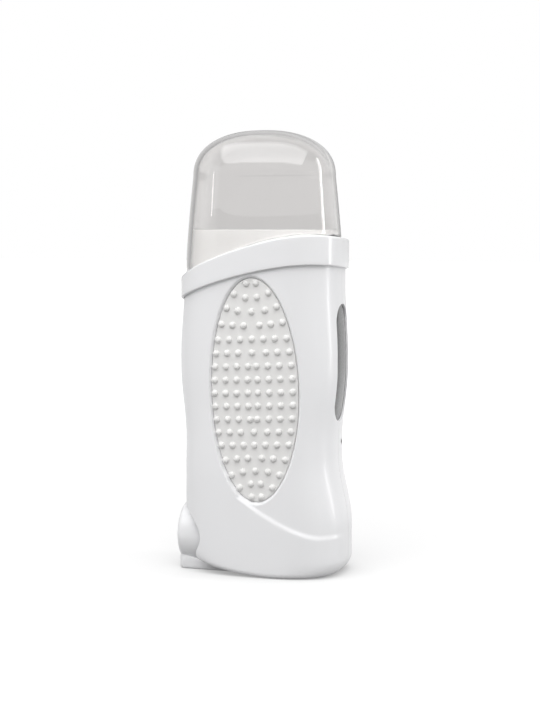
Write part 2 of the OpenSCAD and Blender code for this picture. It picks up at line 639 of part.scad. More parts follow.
fuse_d = 2.6;
fuse_len = 9;
fuse_tail = 3;            // bare wire at each end of the fuse
strap_w = 8;
fuse_x = -12;
fuse_z = plate_z + plate_h/2 - 9;
fuse_y = plate_back + fuse_d/2;
module thermal_fuse() color([0.75, 0.76, 0.7]) {
    translate([fuse_x, fuse_y, fuse_z - fuse_len/2]) cylinder(d = fuse_d, h = fuse_len);
    translate([fuse_x, fuse_y, fuse_z - fuse_len/2 - fuse_tail])
        cylinder(d = 0.8, h = fuse_len + 2*fuse_tail);
}
module fuse_strap() color(steel) translate([fuse_x, plate_back, fuse_z - 1.5])
    linear_extrude(3) difference() {
        union() {
            translate([0, fuse_d/2]) circle(d = fuse_d + 0.5);
            translate([-strap_w/2, 0]) square([strap_w, 0.25]);
        }
        translate([0, fuse_d/2]) circle(d = fuse_d + 0.02);
        translate([-5, -5]) square([10, 5]);
    }

// The lamp hangs halfway between the chamber and the window's lens.
lamp_x = (cell_side + side_x(lamp_y, lamp_z, lens_depth + lens_t))/2;
lamp_len = 10;
holder_wall = 0.4;
holder_arm_h = 8;
module indicator_lamp() color([0.95, 0.72, 0.5]) {
    translate([lamp_x, lamp_y, lamp_z - lamp_len/2]) {
        cylinder(d = lamp_d, h = lamp_len - lamp_d/2);
        translate([0, 0, lamp_len - lamp_d/2]) sphere(d = lamp_d);
    }
    for (s = [-1, 1]) translate([lamp_x, lamp_y + s*0.8, lamp_z - lamp_len/2 - 3])
        cylinder(d = 0.5, h = 3.2);
}
module lamp_holder() color(white) difference() {
    union() {
        translate([lamp_x, lamp_y, lamp_z - 9]) cylinder(d = lamp_d + 2*holder_wall, h = 6);
        translate([cell_side, lamp_y - 2 + seam, lamp_z - 11])
            cube([lamp_x - cell_side - 1.6, 4 - 2*seam, holder_arm_h]);
    }
    translate([lamp_x, lamp_y, lamp_z - lamp_len/2 - 1]) cylinder(d = lamp_d + 0.02, h = 9);
    translate([lamp_x, lamp_y, lamp_z - 12]) cylinder(d = 3, h = 9);
}

// ---- mains inlet ---------------------------------------------------------------------------
inlet_back = -drum_x + drum_len;
module inlet_housing() color(white) {
    difference() {
        union() {
            drum();
            translate([inlet_back - flange_t/2, flange_front, 8])
                cube([flange_t, flange_back - flange_front, 22]);
            foot();
        }
        translate([-drum_x - 1, 0, 0]) insert_shape(0.05, drum_len + 6);
    }
}
drum_round = 2.5;
module drum() translate([-drum_x, drum_y, drum_z]) rotate([0, 90, 0]) rotate_extrude($fn = 72)
    polygon(concat([[0, 0]], [for (a = [0:15:90]) [drum_r - drum_round + drum_round*sin(a),
        drum_round - drum_round*cos(a)]], [[drum_r, drum_len], [0, drum_len]]));
// The foot fills the space below the raised underside.
foot_front = drum_y - 12;
foot_back = 14;
foot_r = 3.2;
module foot() intersection() {
    translate([-drum_x, foot_front, 0]) union() {
        translate([foot_r, 0, 0]) cube([foot_len - foot_r, foot_back - foot_front, 6.5]);
        translate([0, foot_r, 0]) cube([foot_len, foot_back - foot_front - 2*foot_r, 6.5]);
        for (y = [foot_r, foot_back - foot_front - foot_r])
            translate([foot_r, y, 0]) cylinder(r = foot_r, h = 6.5);
    }
    rotate([90, 0, 0]) translate([0, 0, -50]) linear_extrude(100) polygon(concat(
        [[-drum_x - 1, 0]], [[foot_len - drum_x + 1, 0]],
        [for (k = [10:-1:0]) let(x = -drum_x + foot_len*k/10 + 1) [x - 1, rise_at(x) - seam]],
        [[-drum_x - 1, 6.5]]));
}
insert_w = socket_w + 3;
insert_h = socket_h + 3;
module insert_shape(grow, len) translate([0, drum_y, drum_z]) rotate([90, 0, 90])
    linear_extrude(len) slot_outline(insert_w + 2*grow, insert_h + 2*grow);
module slot_outline(w, h) {
    for (s = [-1, 1]) translate([s*(w - h)/2, 0]) circle(d = h);
    square([w - h, h], center = true);
}
module inlet_insert() color(dark) difference() {
    translate([-drum_x - 0.4, 0, 0]) insert_shape(0, drum_len + 0.4);
    translate([-drum_x - 1, drum_y, drum_z]) rotate([90, 0, 90]) linear_extrude(socket_depth + 1)
        slot_outline(socket_w, socket_h);
    for (s = [-1, 1]) translate([-drum_x, drum_y + s*pin_gap/2, drum_z]) rotate([0, 90, 0])
        cylinder(d = tail_d, h = big);
}
pin_back = inlet_back + 5;
module inlet_pins() color(brass) for (s = [-1, 1])
    translate([-drum_x + socket_depth - pin_len, drum_y + s*pin_gap/2, drum_z]) rotate([0, 90, 0]) {
        cylinder(d1 = pin_d - 1, d2 = pin_d, h = 1);
        translate([0, 0, 1]) cylinder(d = pin_d, h = pin_len - 1);
        translate([0, 0, pin_len - 1]) cylinder(d = tail_d, h = pin_back + drum_x - socket_depth + 1);
    }

// ---- leads -------------------------------------------------------------------------------
live_pin = [pin_back, drum_y - pin_gap/2, drum_z];
neutral_pin = [pin_back, drum_y + pin_gap/2, drum_z];
fuse_top = [fuse_x, fuse_y, fuse_z + fuse_len/2 + fuse_tail];
fuse_foot = [fuse_x, fuse_y, fuse_z - fuse_len/2 - fuse_tail];
live_route = [live_pin, live_pin + [3, 0, 0], [-4, -8, 22], [-5, -2, 28], [-8, 7, 29.5],
    [-15.5, 15.3, 28.5], [-23, 16, 29], [-27.4, 15.8, 32], [-28, 15.6, 40], [-26.4, 16.7, 52],
    [-26.4, 16.7, 70], [-28, 15.8, 80], [-28.4, 15.4, 92], [-26.5, 17, 102], [-23, 19, 109],
    [-19.5, 20, 113], [-15, 20.7, 114.5], fuse_top + [0, 0, 2.4], fuse_top];
neutral_route = [neutral_pin, neutral_pin + [4, 0, 0], [0, 4, 22], [10, 9, 28], [19, 13, 29],
    [26.5, 15.2, 30], [28.4, 15.2, 35], [28, 15.6, 42], [26.4, 16.7, 53], [26.4, 16.7, 68],
    [23.5, 18.9, 77], [18.5, plate_back + 1, 80], [ptc_w/2, plate_back + 1, 80]];
fuse_route = [fuse_foot, fuse_foot - [0, 0, 2], [fuse_x, plate_back + 1, plate_z + ptc_h/2 + 2],
    [fuse_x, plate_back + 1, plate_z + ptc_h/2]];
module live_lead() color([0.45, 0.3, 0.2]) lead(live_route, lead_d, [0, 0, 1], 3);
module neutral_lead() color([0.25, 0.35, 0.6]) lead(neutral_route, lead_d, [0, 0, 1], 3);
module fuse_lead() color([0.45, 0.3, 0.2]) lead(fuse_route, lead_d, [1, 0, 0], 3);

// The lamp's leads come down the front right corner; the resistor sits in one of them.
lamp_foot = [lamp_x, lamp_y, lamp_z - lamp_len/2 - 3];
resistor_at = [29.2, -14.3, 46];
resistor_end = [0, 0, 5];
tap = [-1.5, 0, tail_d/2 + 0.02];          // where a lamp lead meets the pin, from the pin's end
lamp_live_top = [lamp_foot + [0, -0.8, 0], lamp_foot - [0, 0.8, 3.5], [30.6, 3, 80],
    [30.2, -3, 74], [29.8, -10, 70], [29.2, -14, 64], resistor_at + resistor_end + [0, 0, 3],
    resistor_at + resistor_end];
lamp_live_low = [resistor_at - resistor_end, [29.2, -14.3, 38], [28.7, -14.3, 33],
    [24, -13, 28.5], [6, -9, 25.5], [-8, live_pin[1], 24.5], live_pin + tap + [0, 0, 3.5],
    live_pin + tap];
lamp_neutral = [lamp_foot + [0, 0.8, 0], lamp_foot + [0, 0.8, -3.5], [32.2, 4, 80],
    [31.6, -3, 75], [31.2, -9.5, 71.5], [30.6, -13.3, 66], [30.6, -13.3, 56], [30.6, -12.7, 46],
    [30.6, -12, 37], [30, -10.5, 31.5], [24, -6, 27.5], [8, -1, 25], [-7, neutral_pin[1], 24],
    neutral_pin + tap + [0, 0, 3.5], neutral_pin + tap];
module lamp_resistor() color([0.75, 0.65, 0.5]) translate(resistor_at) {
    translate([0, 0, -3]) cylinder(d = 2.2, h = 6);
    translate(-resistor_end) cylinder(d = 0.6, h = 10);
}
module lamp_leads() color([0.8, 0.8, 0.8])
    for (r = [lamp_live_top, lamp_live_low, lamp_neutral]) lead(r, 1, [1, 0, 0], 3);

// ---- screws ----------------------------------------------------------------------------
module shell_screws() color(steel) for (p = screw_places) translate([p[0], 0, p[1]])
    rotate([90, 0, 0]) difference() {
        union() {
            translate([0, 0, -screw_seat]) cylinder(d = screw_d, h = screw_seat + screw_reach - 1);
            translate([0, 0, -screw_seat - 1.8]) cylinder(d = head_d, h = 1.8);
        }
        for (a = [0, 90]) rotate([0, 0, a]) translate([-head_d/3, -0.4, -screw_seat - 3])
            cube([head_d/1.5, 0.8, 2]);
    }

// ---- cap ---------------------------------------------------------------------------------
cap_sides = 60;
cap_steps = [0.1, 0.5];                       // heights of the straight part, as shares
dome_steps = [0, 0.25, 0.46, 0.63, 0.77, 0.88, 0.95, 0.988];
module travel_cap() {
    function ring(z, a, b) = [for (i = [0:cap_sides - 1]) let(phi = 360*i/cap_sides,
        r = squircle(phi, a, b)) [r*cos(phi), r*sin(phi), z]];
    function foot_ring(inset) = [for (i = [0:cap_sides - 1]) let(phi = 360*i/cap_sides,
        z = top_z(phi) + rest_gap, r = squircle(phi, cap_half(z) - inset, cap_deep(z) - inset))
        [r*cos(phi), r*sin(phi), z]];
    straight = cap_dome_z - collar_z;
    outer = concat([for (s = cap_steps) let(z = collar_z + 1 + s*(straight - 1))
        ring(z, cap_half(z), cap_deep(z))],
        [for (s = dome_steps) let(z = cap_dome_z + s*(overall_h - cap_dome_z))
        ring(z, cap_half(z), cap_deep(z))]);
    inner = concat([for (s = cap_steps) let(z = collar_z + 1 + s*(straight - 1))
        ring(z, cap_half_in(z), cap_deep_in(z))],
        [for (s = dome_steps) let(z = cap_dome_z + s*(overall_h - cap_wall - cap_dome_z))
        ring(z, cap_half_in(z), cap_deep_in(z))]);
    m = len(inner);
    color(clear) ring_solid(concat([for (k = [m - 1:-1:0]) inner[k]], [foot_ring(cap_wall), foot_ring(0)],
        outer), [0, 0, overall_h - cap_wall], [0, 0, overall_h]);
}

front_shell();
rear_shell();
grip_pad();
trim_collar();
neck_ring();
cartridge_chamber();
cartridge_spring();
window_lens();
heat_plate();
heating_element();
insulation_sheet();
element_clip();
thermal_fuse();
fuse_strap();
indicator_lamp();
lamp_holder();
lamp_resistor();
inlet_housing();
inlet_insert();
inlet_pins();
live_lead();
neutral_lead();
fuse_lead();
lamp_leads();
shell_screws();
travel_cap();
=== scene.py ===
"""Roll-on wax heater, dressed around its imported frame. Metres, +Z up, the grip pad faces -Y.

The moulded pieces are lofted again here from the same sizes as the frame's solids, but with
close rings, rounded edges and fillets. The small pieces inside are the frame's own, with
their edges eased. Every finish is procedural.
"""

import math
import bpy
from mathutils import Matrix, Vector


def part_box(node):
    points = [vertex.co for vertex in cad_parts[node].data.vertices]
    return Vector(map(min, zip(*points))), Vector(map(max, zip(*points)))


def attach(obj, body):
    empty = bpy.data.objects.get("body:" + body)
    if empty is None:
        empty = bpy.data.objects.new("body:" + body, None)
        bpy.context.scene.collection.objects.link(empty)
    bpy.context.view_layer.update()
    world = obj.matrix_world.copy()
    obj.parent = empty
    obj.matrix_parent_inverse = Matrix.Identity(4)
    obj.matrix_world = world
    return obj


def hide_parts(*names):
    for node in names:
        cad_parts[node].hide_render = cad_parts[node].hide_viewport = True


bl_info = {
    "name": "Roll-on wax heater",
    "version": (1, 0, 0),
    "blender": (4, 5, 0),
    "location": "3D View > Sidebar > Heater",
    "description": "Builds the shells, pad, collar, cap and inlet of a roll-on wax heater",
    "category": "Add Mesh",
}

import bmesh
import bpy
import numpy as np
from bpy.props import FloatProperty, FloatVectorProperty, IntProperty, PointerProperty
from mathutils import Vector

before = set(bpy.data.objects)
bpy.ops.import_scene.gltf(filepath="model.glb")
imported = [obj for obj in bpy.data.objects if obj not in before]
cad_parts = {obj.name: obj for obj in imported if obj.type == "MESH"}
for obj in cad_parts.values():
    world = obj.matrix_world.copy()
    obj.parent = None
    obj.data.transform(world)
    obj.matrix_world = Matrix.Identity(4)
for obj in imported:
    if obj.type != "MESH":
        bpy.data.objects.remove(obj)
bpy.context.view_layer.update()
cap_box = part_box("travel_cap")

SEAM = 0.00015            # gap between pieces that meet
LIP_W = 0.0009            # how far the chamber's lip stands out from its wall
SLEEVE_R = 0.0037         # radius of the pillars that the screw heads sink into
SCREW_BORE = 0.00255      # radius of the holes that the screw heads go in by
RISE_FADE = 0.030         # height where the rise of the underside has faded out
DOME_POWER = 2.3          # roundness of the cap's dome, where 2 is an ellipse
PLASTIC_IOR = 1.49


# ---- sizes that a user would change ------------------------------------------------------

def length(name, default, description):
    """A size in metres, shown in the scene's own unit."""
    return FloatProperty(name=name, description=description, default=default, min=0.0,
                         precision=4, unit="LENGTH")


def place(name, default, description):
    """A coordinate in metres, which may be negative."""
    return FloatProperty(name=name, description=description, default=default, precision=4,
                         unit="LENGTH")


def share(name, default, description):
    """A number from 0 to 1."""
    return FloatProperty(name=name, description=description, default=default, min=0.0, max=1.0,
                         subtype="FACTOR")


def tint(name, default, description):
    """A linear colour."""
    return FloatVectorProperty(name=name, description=description, default=default, size=3,
                               min=0.0, max=1.0, subtype="COLOR")


class HeaterBody(bpy.types.PropertyGroup):
    """Outside form of the two shells."""
    depth: length("Depth", 0.050, "Depth of the body, front to back")
    squareness: FloatProperty(name="Squareness", description="Power of the cross-section, where 2 "
                              "is an ellipse", default=3.0, min=2.0, max=5.0)
    waist_w: length("Waist width", 0.0726, "Width across the waist")
    waist_z: length("Waist height", 0.061, "Height of the waist")
    bulge_w: length("Bulge width", 0.0781, "Width across the bulge behind the pad")
    bulge_z: length("Bulge height", 0.100, "Height of the bulge")
    shoulder_w: length("Shoulder width", 0.0753, "Width of the shoulder inside the collar")
    shoulder_in: length("Shoulder in", 0.0006, "How much less the shoulder reaches to the left")
    flare: length("Flare", 0.005, "How far the right side flares out at the foot")
    flare_z: length("Flare height", 0.022, "Height of the widest part of the flare")
    base_round: length("Corner rounding", 0.008, "Rounding of the bottom corners")
    base_edge: length("Edge rounding", 0.0025, "Rounding of the bottom edge")
    rise: length("Rise", 0.0072, "Rise of the underside at the left")
    rise_x: length("Rise start", 0.010, "Where the underside starts to rise")
    wall: length("Wall", 0.0022, "Wall of the shells")
    lip: length("Edge easing", 0.0002, "Easing of the shells' edges along the seam")


class HeaterSweep(bpy.types.PropertyGroup):
    """The raised step that sweeps from the oval to the lower right."""
    step: length("Step", 0.0009, "Height of the raised step")
    slope: length("Slope width", 0.0024, "Width of the step's slope")
    low_z: length("Low end height", 0.0195, "Height of the step's lower end")
    reach: length("Reach", 0.033, "Where the step's lower end lies, right of the middle")
    top_z: length("Top height", 0.0374, "Height where the step leaves the oval")


class HeaterPad(bpy.types.PropertyGroup):
    """The oval recess and its studded pad."""
    oval_w: length("Oval width", 0.0438, "Width of the recess")
    oval_h: length("Oval height", 0.1054, "Height of the recess")
    oval_x: place("Oval side", 0.0026, "Sideways place of the oval")
    oval_z: length("Oval middle", 0.0869, "Height of the oval's middle")
    lean: FloatProperty(name="Lean", description="Lean of the oval to the left",
                        default=math.radians(1.5), subtype="ANGLE")
    depth: length("Recess depth", 0.0012, "Depth of the recess down to the pad")
    thickness: length("Pad thickness", 0.0009, "Thickness of the pad")
    pip_r: length("Pip radius", 0.0015, "Radius of one pip")
    pip_pitch: length("Pip pitch", 0.00545, "Distance between pips in a row")
    end_gap: length("End gap", 0.00386, "Distance from the last pip to the end of the oval")
    rows: IntProperty(name="Rows", description="Rows above and below the middle one", default=8,
                      min=1, max=8)
    row_tilt: FloatProperty(name="Row tilt", description="Tilt of the rows",
                            default=math.radians(2.6), subtype="ANGLE")
    row_bend: length("Row bend", 0.002, "How far the end rows bend round the oval's ends")
    row_min: length("Shortest row", 0.0046, "Length of the rows at the oval's ends")
    row_sag: length("Row sag", 0.0011, "How far the middle rows sag below even spacing")
    row_shift: length("Row shift", 0.0004, "How far the middle rows shift to the left")


class HeaterCollar(bpy.types.PropertyGroup):
    """The sloping band."""
    top_z: length("Top height", 0.1584, "Height of the top edge at the right")
    height: length("Height", 0.0136, "Height of the band at the right")
    drop: length("Top drop", 0.0195, "Drop of the top edge from right to left")
    low_drop: length("Lower drop", 0.0159, "Drop of the lower edge from right to left")
    fall: FloatProperty(name="Fall", description="Slope of the edges towards the back",
                        default=0.07)
    proud: length("Proud", 0.0015, "How far the band stands out from the shells")
    peak: length("Peak", 0.032, "Sideways place where the edges are highest")


class HeaterCap(bpy.types.PropertyGroup):
    """The clear cap and the neck below it."""
    width: length("Width", 0.073, "Width of the cap at its open end")
    dome_w: length("Dome width", 0.0662, "Width where the dome starts")
    dome_z: length("Dome height", 0.185, "Height where the dome starts")
    top_z: length("Top", cap_box[1].z, "Height of the top of the cap")
    oblong: length("Oblong", 0.025, "How much wider than deep the cap is")
    wall: length("Wall", 0.0019, "Wall of the cap")
    gap: length("Gap", 0.0004, "Clearance between the cap and the neck")
    rest_gap: length("Rest gap", 0.0003, "Gap between the cap and the collar")
    rim_z: length("Rim height", 0.1603, "Height of the neck's rim")
    neck_wall: length("Neck wall", 0.0013, "Wall of the neck")
    deck_z: length("Deck height", 0.146, "Height of the neck's deck")
    ledge_z: length("Ledge height", 0.1234, "Height of the neck's lower edge")


class HeaterWindow(bpy.types.PropertyGroup):
    """The level window in the right side."""
    width: length("Width", 0.018, "Width of the window")
    height: length("Height", 0.055, "Height of the window")
    middle_z: length("Middle", 0.0987, "Height of the window's middle")
    sunk: length("Sunk", 0.0008, "How deep the lens sits below the shells")
    thickness: length("Thickness", 0.0026, "Thickness of the lens")


class HeaterInlet(bpy.types.PropertyGroup):
    """The drum, its foot and the opening round the socket."""
    radius: length("Radius", 0.015, "Radius of the drum")
    end_x: length("End", 0.0379, "Where the drum's end face stands, left of the middle")
    axis_y: place("Axis depth", -0.004, "Depth place of the drum's axis")
    axis_z: length("Axis height", 0.0165, "Height of the drum's axis")
    length: length("Length", 0.0224, "Length of the drum")
    reveal: length("Reveal", 0.0041, "Opening in the shells past the drum's radius")
    socket_w: length("Socket width", 0.015, "Width of the socket")
    socket_h: length("Socket height", 0.0082, "Height of the socket")
    foot_len: length("Foot length", 0.040, "Length of the foot")


class HeaterFinish(bpy.types.PropertyGroup):
    """Colours and gloss."""
    white: tint("Shell white", (0.80, 0.80, 0.81), "Colour of the shells, collar and drum")
    pad: tint("Pad white", (0.76, 0.755, 0.745), "Colour of the soft pad")
    neck: tint("Neck white", (0.90, 0.90, 0.89), "Colour of the neck and chamber")
    clear: tint("Clear tint", (0.93, 0.92, 0.915), "Tint of the clear cap")
    smoke: tint("Lens tint", (0.27, 0.275, 0.28), "Tint of the window")
    shell_rough: share("Shell roughness", 0.34, "Roughness of the shells")
    pad_rough: share("Pad roughness", 0.55, "Roughness of the pad")


class HeaterStage(bpy.types.PropertyGroup):
    """Camera and light."""
    azimuth: FloatProperty(name="Azimuth", description="Camera direction, from the front towards "
                           "the right", default=math.radians(18), subtype="ANGLE")
    distance: length("Distance", 0.730, "Camera distance from the middle of the body")
    eye_z: length("Eye height", 0.1626, "Height of the camera")
    pitch: FloatProperty(name="Pitch", description="How far the camera looks down",
                         default=math.radians(4.98), subtype="ANGLE")
    aside: place("Aside", 0.00259, "How far the camera stands to its right")
    focal: FloatProperty(name="Focal length", description="Focal length in pixels of the "
                         "photograph's frame", default=1550.0, min=100.0)


def sizes(name):
    """The property group of that name, on the scene."""
    return getattr(bpy.context.scene, "heater_" + name)


# ---- forms that several pieces share ------------------------------------------------------

def smooth(t):
    """A smooth step from 0 to 1."""
    u = np.clip(t, 0.0, 1.0)
    return u * u * (3 - 2 * u)


def rounding(z, radius):
    """How far an edge of that radius draws in at height z above its end."""
    drop = np.clip(radius - z, 0.0, radius)
    return radius - np.sqrt(radius ** 2 - drop ** 2)


def squircle(phi, a, b):
    """Radius of the body's cross-section in direction phi, with half sizes a and b."""
    power = sizes("body").squareness
    return (np.abs(np.cos(phi) / a) ** power + np.abs(np.sin(phi) / b) ** power) ** (-1 / power)


def oblong(phi, a, b, r):
    """Radius of a rectangle of half sizes a and b with corners of radius r, in direction phi."""
    c, s = np.maximum(np.abs(np.cos(phi)), 1e-9), np.maximum(np.abs(np.sin(phi)), 1e-9)
    side, end = a / c, b / s
    m = c * (a - r) + s * (b - r)
    corner = m + np.sqrt(np.maximum(0, m * m - (a - r) ** 2 - (b - r) ** 2 + r * r))
    return np.where(side * s <= b - r, side, np.where(end * c <= a - r, end, corner))


def shoulder_half(x):
    """Half width of the shoulder, on the side that x lies on."""
    body = sizes("body")
    return body.shoulder_w / 2 - np.where(np.asarray(x) < 0, body.shoulder_in, 0.0)


def half_width(z, x):
    """Half width of the body at height z, on the side that x lies on."""
    body = sizes("body")
    early, shoulder_run = 0.005, 0.034
    flare_end, bulge_end = body.waist_z - early, body.bulge_z - early
    flare = body.flare * (1 - smooth((z - body.flare_z) / (flare_end - body.flare_z)))
    bulge = smooth((z - body.waist_z - 0.001) / (bulge_end - body.waist_z))
    shoulder = smooth((z - body.bulge_z - 0.002) / shoulder_run)
    return (body.waist_w / 2 + np.where(x > 0, flare, 0.0)
            + (body.bulge_w - body.waist_w) / 2 * bulge
            + (shoulder_half(x) - body.bulge_w / 2) * shoulder)


def rise_at(x):
    """Rise of the underside at sideways place x."""
    body = sizes("body")
    run = np.maximum(0, body.rise_x - x) / (body.rise_x + body.waist_w / 2)
    return body.rise * run ** 1.5


def sweep_rise(x, z):
    """Height of the raised step at x, z on the front."""
    sweep, pad = sizes("sweep"), sizes("pad")
    leave, curve = pad.oval_x - pad.oval_w / 6, 1.45
    fade_z, fade_run = 0.045, 0.040
    line = sweep.low_z + (sweep.top_z - sweep.low_z) * (
        np.maximum(0, sweep.reach - x) / (sweep.reach - leave)) ** curve
    fade = 1 - smooth((z - fade_z) / fade_run)
    return sweep.step * fade * smooth(0.5 + np.maximum(line - z, leave - x) / sweep.slope)


def front_share(y):
    """How much of the step shows at depth place y: all on the front, none at the sides."""
    return np.where(y < 0, smooth(-y / (sizes("body").depth / 2) * 4 - 0.3), 0.0)


def body_points(phi, z):
    """Points of the body's outside in direction phi at height z."""
    body = sizes("body")
    a = half_width(z, np.cos(phi)) - rounding(z, body.base_round)
    b = body.depth / 2 - rounding(z, body.base_edge)
    r = squircle(phi, a, b)
    x, y = r * np.cos(phi), r * np.sin(phi)
    lift = rise_at(x) * np.maximum(0, 1 - z / RISE_FADE)
    step = sweep_rise(x, z + lift) * front_share(y)
    return np.stack(np.broadcast_arrays(x, y - step, z + lift), axis=-1)


def front_points(x, z, inset=0.0):
    """Points of the front face at x, z, inset from the outside. The step fades out with depth."""
    body, pad = sizes("body"), sizes("pad")
    a, b = half_width(z, x) - inset, body.depth / 2 - inset
    power = body.squareness
    y = -b * np.maximum(0, 1 - (np.abs(x) / a) ** power) ** (1 / power)
    step = sweep_rise(x, z) * front_share(y) * (1 - smooth(inset / pad.depth))
    return np.stack(np.broadcast_arrays(x, y - step, z), axis=-1)


def side_points(y, z, inset=0.0):
    """Points of the right side at y, z, inset from the outside."""
    body = sizes("body")
    a, b = half_width(z, 1.0) - inset, body.depth / 2 - inset
    power = body.squareness
    x = a * np.maximum(0, 1 - (np.abs(y) / b) ** power) ** (1 / power)
    return np.stack(np.broadcast_arrays(x, y, z), axis=-1)


def shoulder_radius(phi, grow=0.0):
    """Radius of the shoulder in direction phi, grown by a distance."""
    return squircle(phi, shoulder_half(np.cos(phi)) + grow, sizes("body").depth / 2 + grow)


def collar_edge(phi, low=False):
    """Height of the collar's top or lower edge in direction phi."""
    body, collar = sizes("body"), sizes("collar")
    r = shoulder_radius(phi, collar.proud)
    x, y = r * np.cos(phi), r * np.sin(phi)
    share_down = (np.maximum(0, collar.peak - x) / (collar.peak + body.shoulder_w / 2)) ** 1.65
    start = collar.top_z - (collar.height if low else 0)
    drop = collar.low_drop if low else collar.drop
    return start - drop * share_down - collar.fall * (y + body.depth / 2)


def seat_height(phi, r):
    """Height of the plane that the shells end on inside the collar, at radius r."""
    body, collar = sizes("body"), sizes("collar")
    mean_drop = (collar.drop + collar.low_drop) / 2
    slope = mean_drop / (body.shoulder_w + 2 * collar.proud)
    return (collar.top_z - collar.height / 2 - 0.4 * mean_drop + slope * r * np.cos(phi)
            - collar.fall * (r * np.sin(phi) + body.depth / 2))


def dome(z, inset):
    """Share of the cap's width that is left at height z in the dome."""
    cap = sizes("cap")
    t = np.clip((z - cap.dome_z) / (cap.top_z - inset - cap.dome_z), 0, 1)
    return (1 - t ** DOME_POWER) ** (1 / DOME_POWER)


def cap_half(z, inset=0.0):
    """Half width and half depth of the cap at height z, inset from its outside."""
    cap, collar = sizes("cap"), sizes("collar")
    base = collar.top_z - collar.drop
    t = np.maximum(0, (np.minimum(z, cap.dome_z) - base) / (cap.dome_z - base))
    wide = cap.width / 2 - (cap.width - cap.dome_w) / 2 * t ** 1.4 - inset
    return wide * dome(z, inset), (wide - cap.oblong / 2) * dome(z, inset)


def screw_places():
    """Places (x, z) of the screws: two at the waist, beside the chamber, and two at the foot."""
    chamber_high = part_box("cartridge_chamber")[1]
    beside, waist_z = chamber_high.x - LIP_W + SLEEVE_R + SEAM, sizes("body").waist_z
    return [(-beside, waist_z), (beside, waist_z), (-0.006, 0.0085), (0.031, 0.013)]


def full_turn(count):
    """Directions at even steps, once round."""
    return np.linspace(0, 2 * math.pi, count + 1)[:-1]


def upright_ring(phi, r, z):
    """Points in directions phi at radius r and height z."""
    return np.stack(np.broadcast_arrays(r * np.cos(phi), r * np.sin(phi), z), axis=-1)


def even_angles(start, end, count, a, b):
    """Directions between start and end that lie evenly along the outline of half sizes a and b."""
    phi = np.linspace(start, end, 2001)
    r = squircle(phi, a, b)
    points = upright_ring(phi, r, 0.0)
    run = np.concatenate([[0], np.cumsum(np.linalg.norm(np.diff(points, axis=0), axis=1))])
    return np.interp(np.linspace(0, run[-1], count + 1), run, phi)


# ---- meshes ---------------------------------------------------------------------------------

def settle(name, mesh, node, look, body="heater", sharp=40.0):
    """A piece of that mesh in place of the node, smooth but for edges past sharp degrees."""
    mesh.polygons.foreach_set("use_smooth", [True] * len(mesh.polygons))
    mesh.set_sharp_from_angle(angle=math.radians(sharp))
    piece = bpy.data.objects.new(name, mesh)
    bpy.context.scene.collection.objects.link(piece)
    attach(piece, body)
    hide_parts(node)
    paint(piece, look)
    return piece


def skin(name, node, vertices, faces, slot, look, body="heater"):
    """A piece of these vertices and faces in place of the node."""
    mesh = bpy.data.meshes.new(name)
    mesh.from_pydata([tuple(v) for v in vertices], [], [tuple(f) for f in faces])
    shape = bmesh.new()
    shape.from_mesh(mesh)
    bmesh.ops.remove_doubles(shape, verts=shape.verts, dist=1e-6)
    bmesh.ops.dissolve_degenerate(shape, edges=shape.edges, dist=1e-6)
    shape.to_mesh(mesh)
    shape.free()
    return settle(name, mesh, node, look, body)


def joined(*parts):
    """The vertices and faces of several parts as one."""
    vertices, faces = np.zeros((0, 3)), []
    for more, extra in parts:
        faces += [[v + len(vertices) for v in f] for f in extra]
        vertices = np.concatenate([vertices, more])
    return vertices, faces


def grid_faces(index):
    """Quads of a grid of vertex numbers, whose rows advance to the left of its columns."""
    a, b = index[:-1, :-1].ravel(), index[:-1, 1:].ravel()
    c, d = index[1:, 1:].ravel(), index[1:, :-1].ravel()
    return [list(q) for q in np.stack([a, b, c, d], axis=1)]


def loft(rings, first=None, last=None, closed=False):
    """Vertices and faces through rings of equal count. first and last are points that close the
    ends, and closed joins the last ring to the first."""
    rings = [np.asarray(r) for r in rings]
    count = len(rings[0])
    vertices = np.concatenate(rings)
    index = np.arange(len(vertices)).reshape(len(rings), count)
    index = np.concatenate([index, index[:, :1]], axis=1)
    if closed:
        index = np.concatenate([index, index[:1]])
    faces = grid_faces(index)
    for end, ring, turn in ((first, index[0], -1), (last, index[-1], 1)):
        if end is None:
            continue
        vertices = np.concatenate([vertices, [end]])
        centre = len(vertices) - 1
        for i, j in zip(ring[:-1], ring[1:]):
            faces.append([centre, i, j][::turn])
    return vertices, faces


def vertex_normals(vertices, faces):
    """Area-weighted normals."""
    normals = np.zeros_like(vertices)
    for size in (3, 4):
        group = np.array([f for f in faces if len(f) == size])
        if not len(group):
            continue
        p = vertices[group]
        n = np.cross(p[:, 2] - p[:, 0], p[:, size - 1] - p[:, 1]) if size == 4 else np.cross(
            p[:, 1] - p[:, 0], p[:, 2] - p[:, 0])
        for k in range(size):
            np.add.at(normals, group[:, k], n)
    return normals / np.maximum(np.linalg.norm(normals, axis=1, keepdims=True), 1e-12)


def merged(vertices, faces, near=1e-6):
    """The same surface with equal vertices joined and empty faces left out."""
    _, first, back = np.unique(np.round(vertices / near).astype(np.int64), axis=0,
                               return_index=True, return_inverse=True)
    back = back.ravel()
    out = []
    for face in faces:
        ring = [int(back[v]) for v in face]
        ring = [v for k, v in enumerate(ring) if v != ring[k - 1]]
        if len(set(ring)) == len(ring) and len(ring) > 2:
            out.append(ring)
    return vertices[first], out


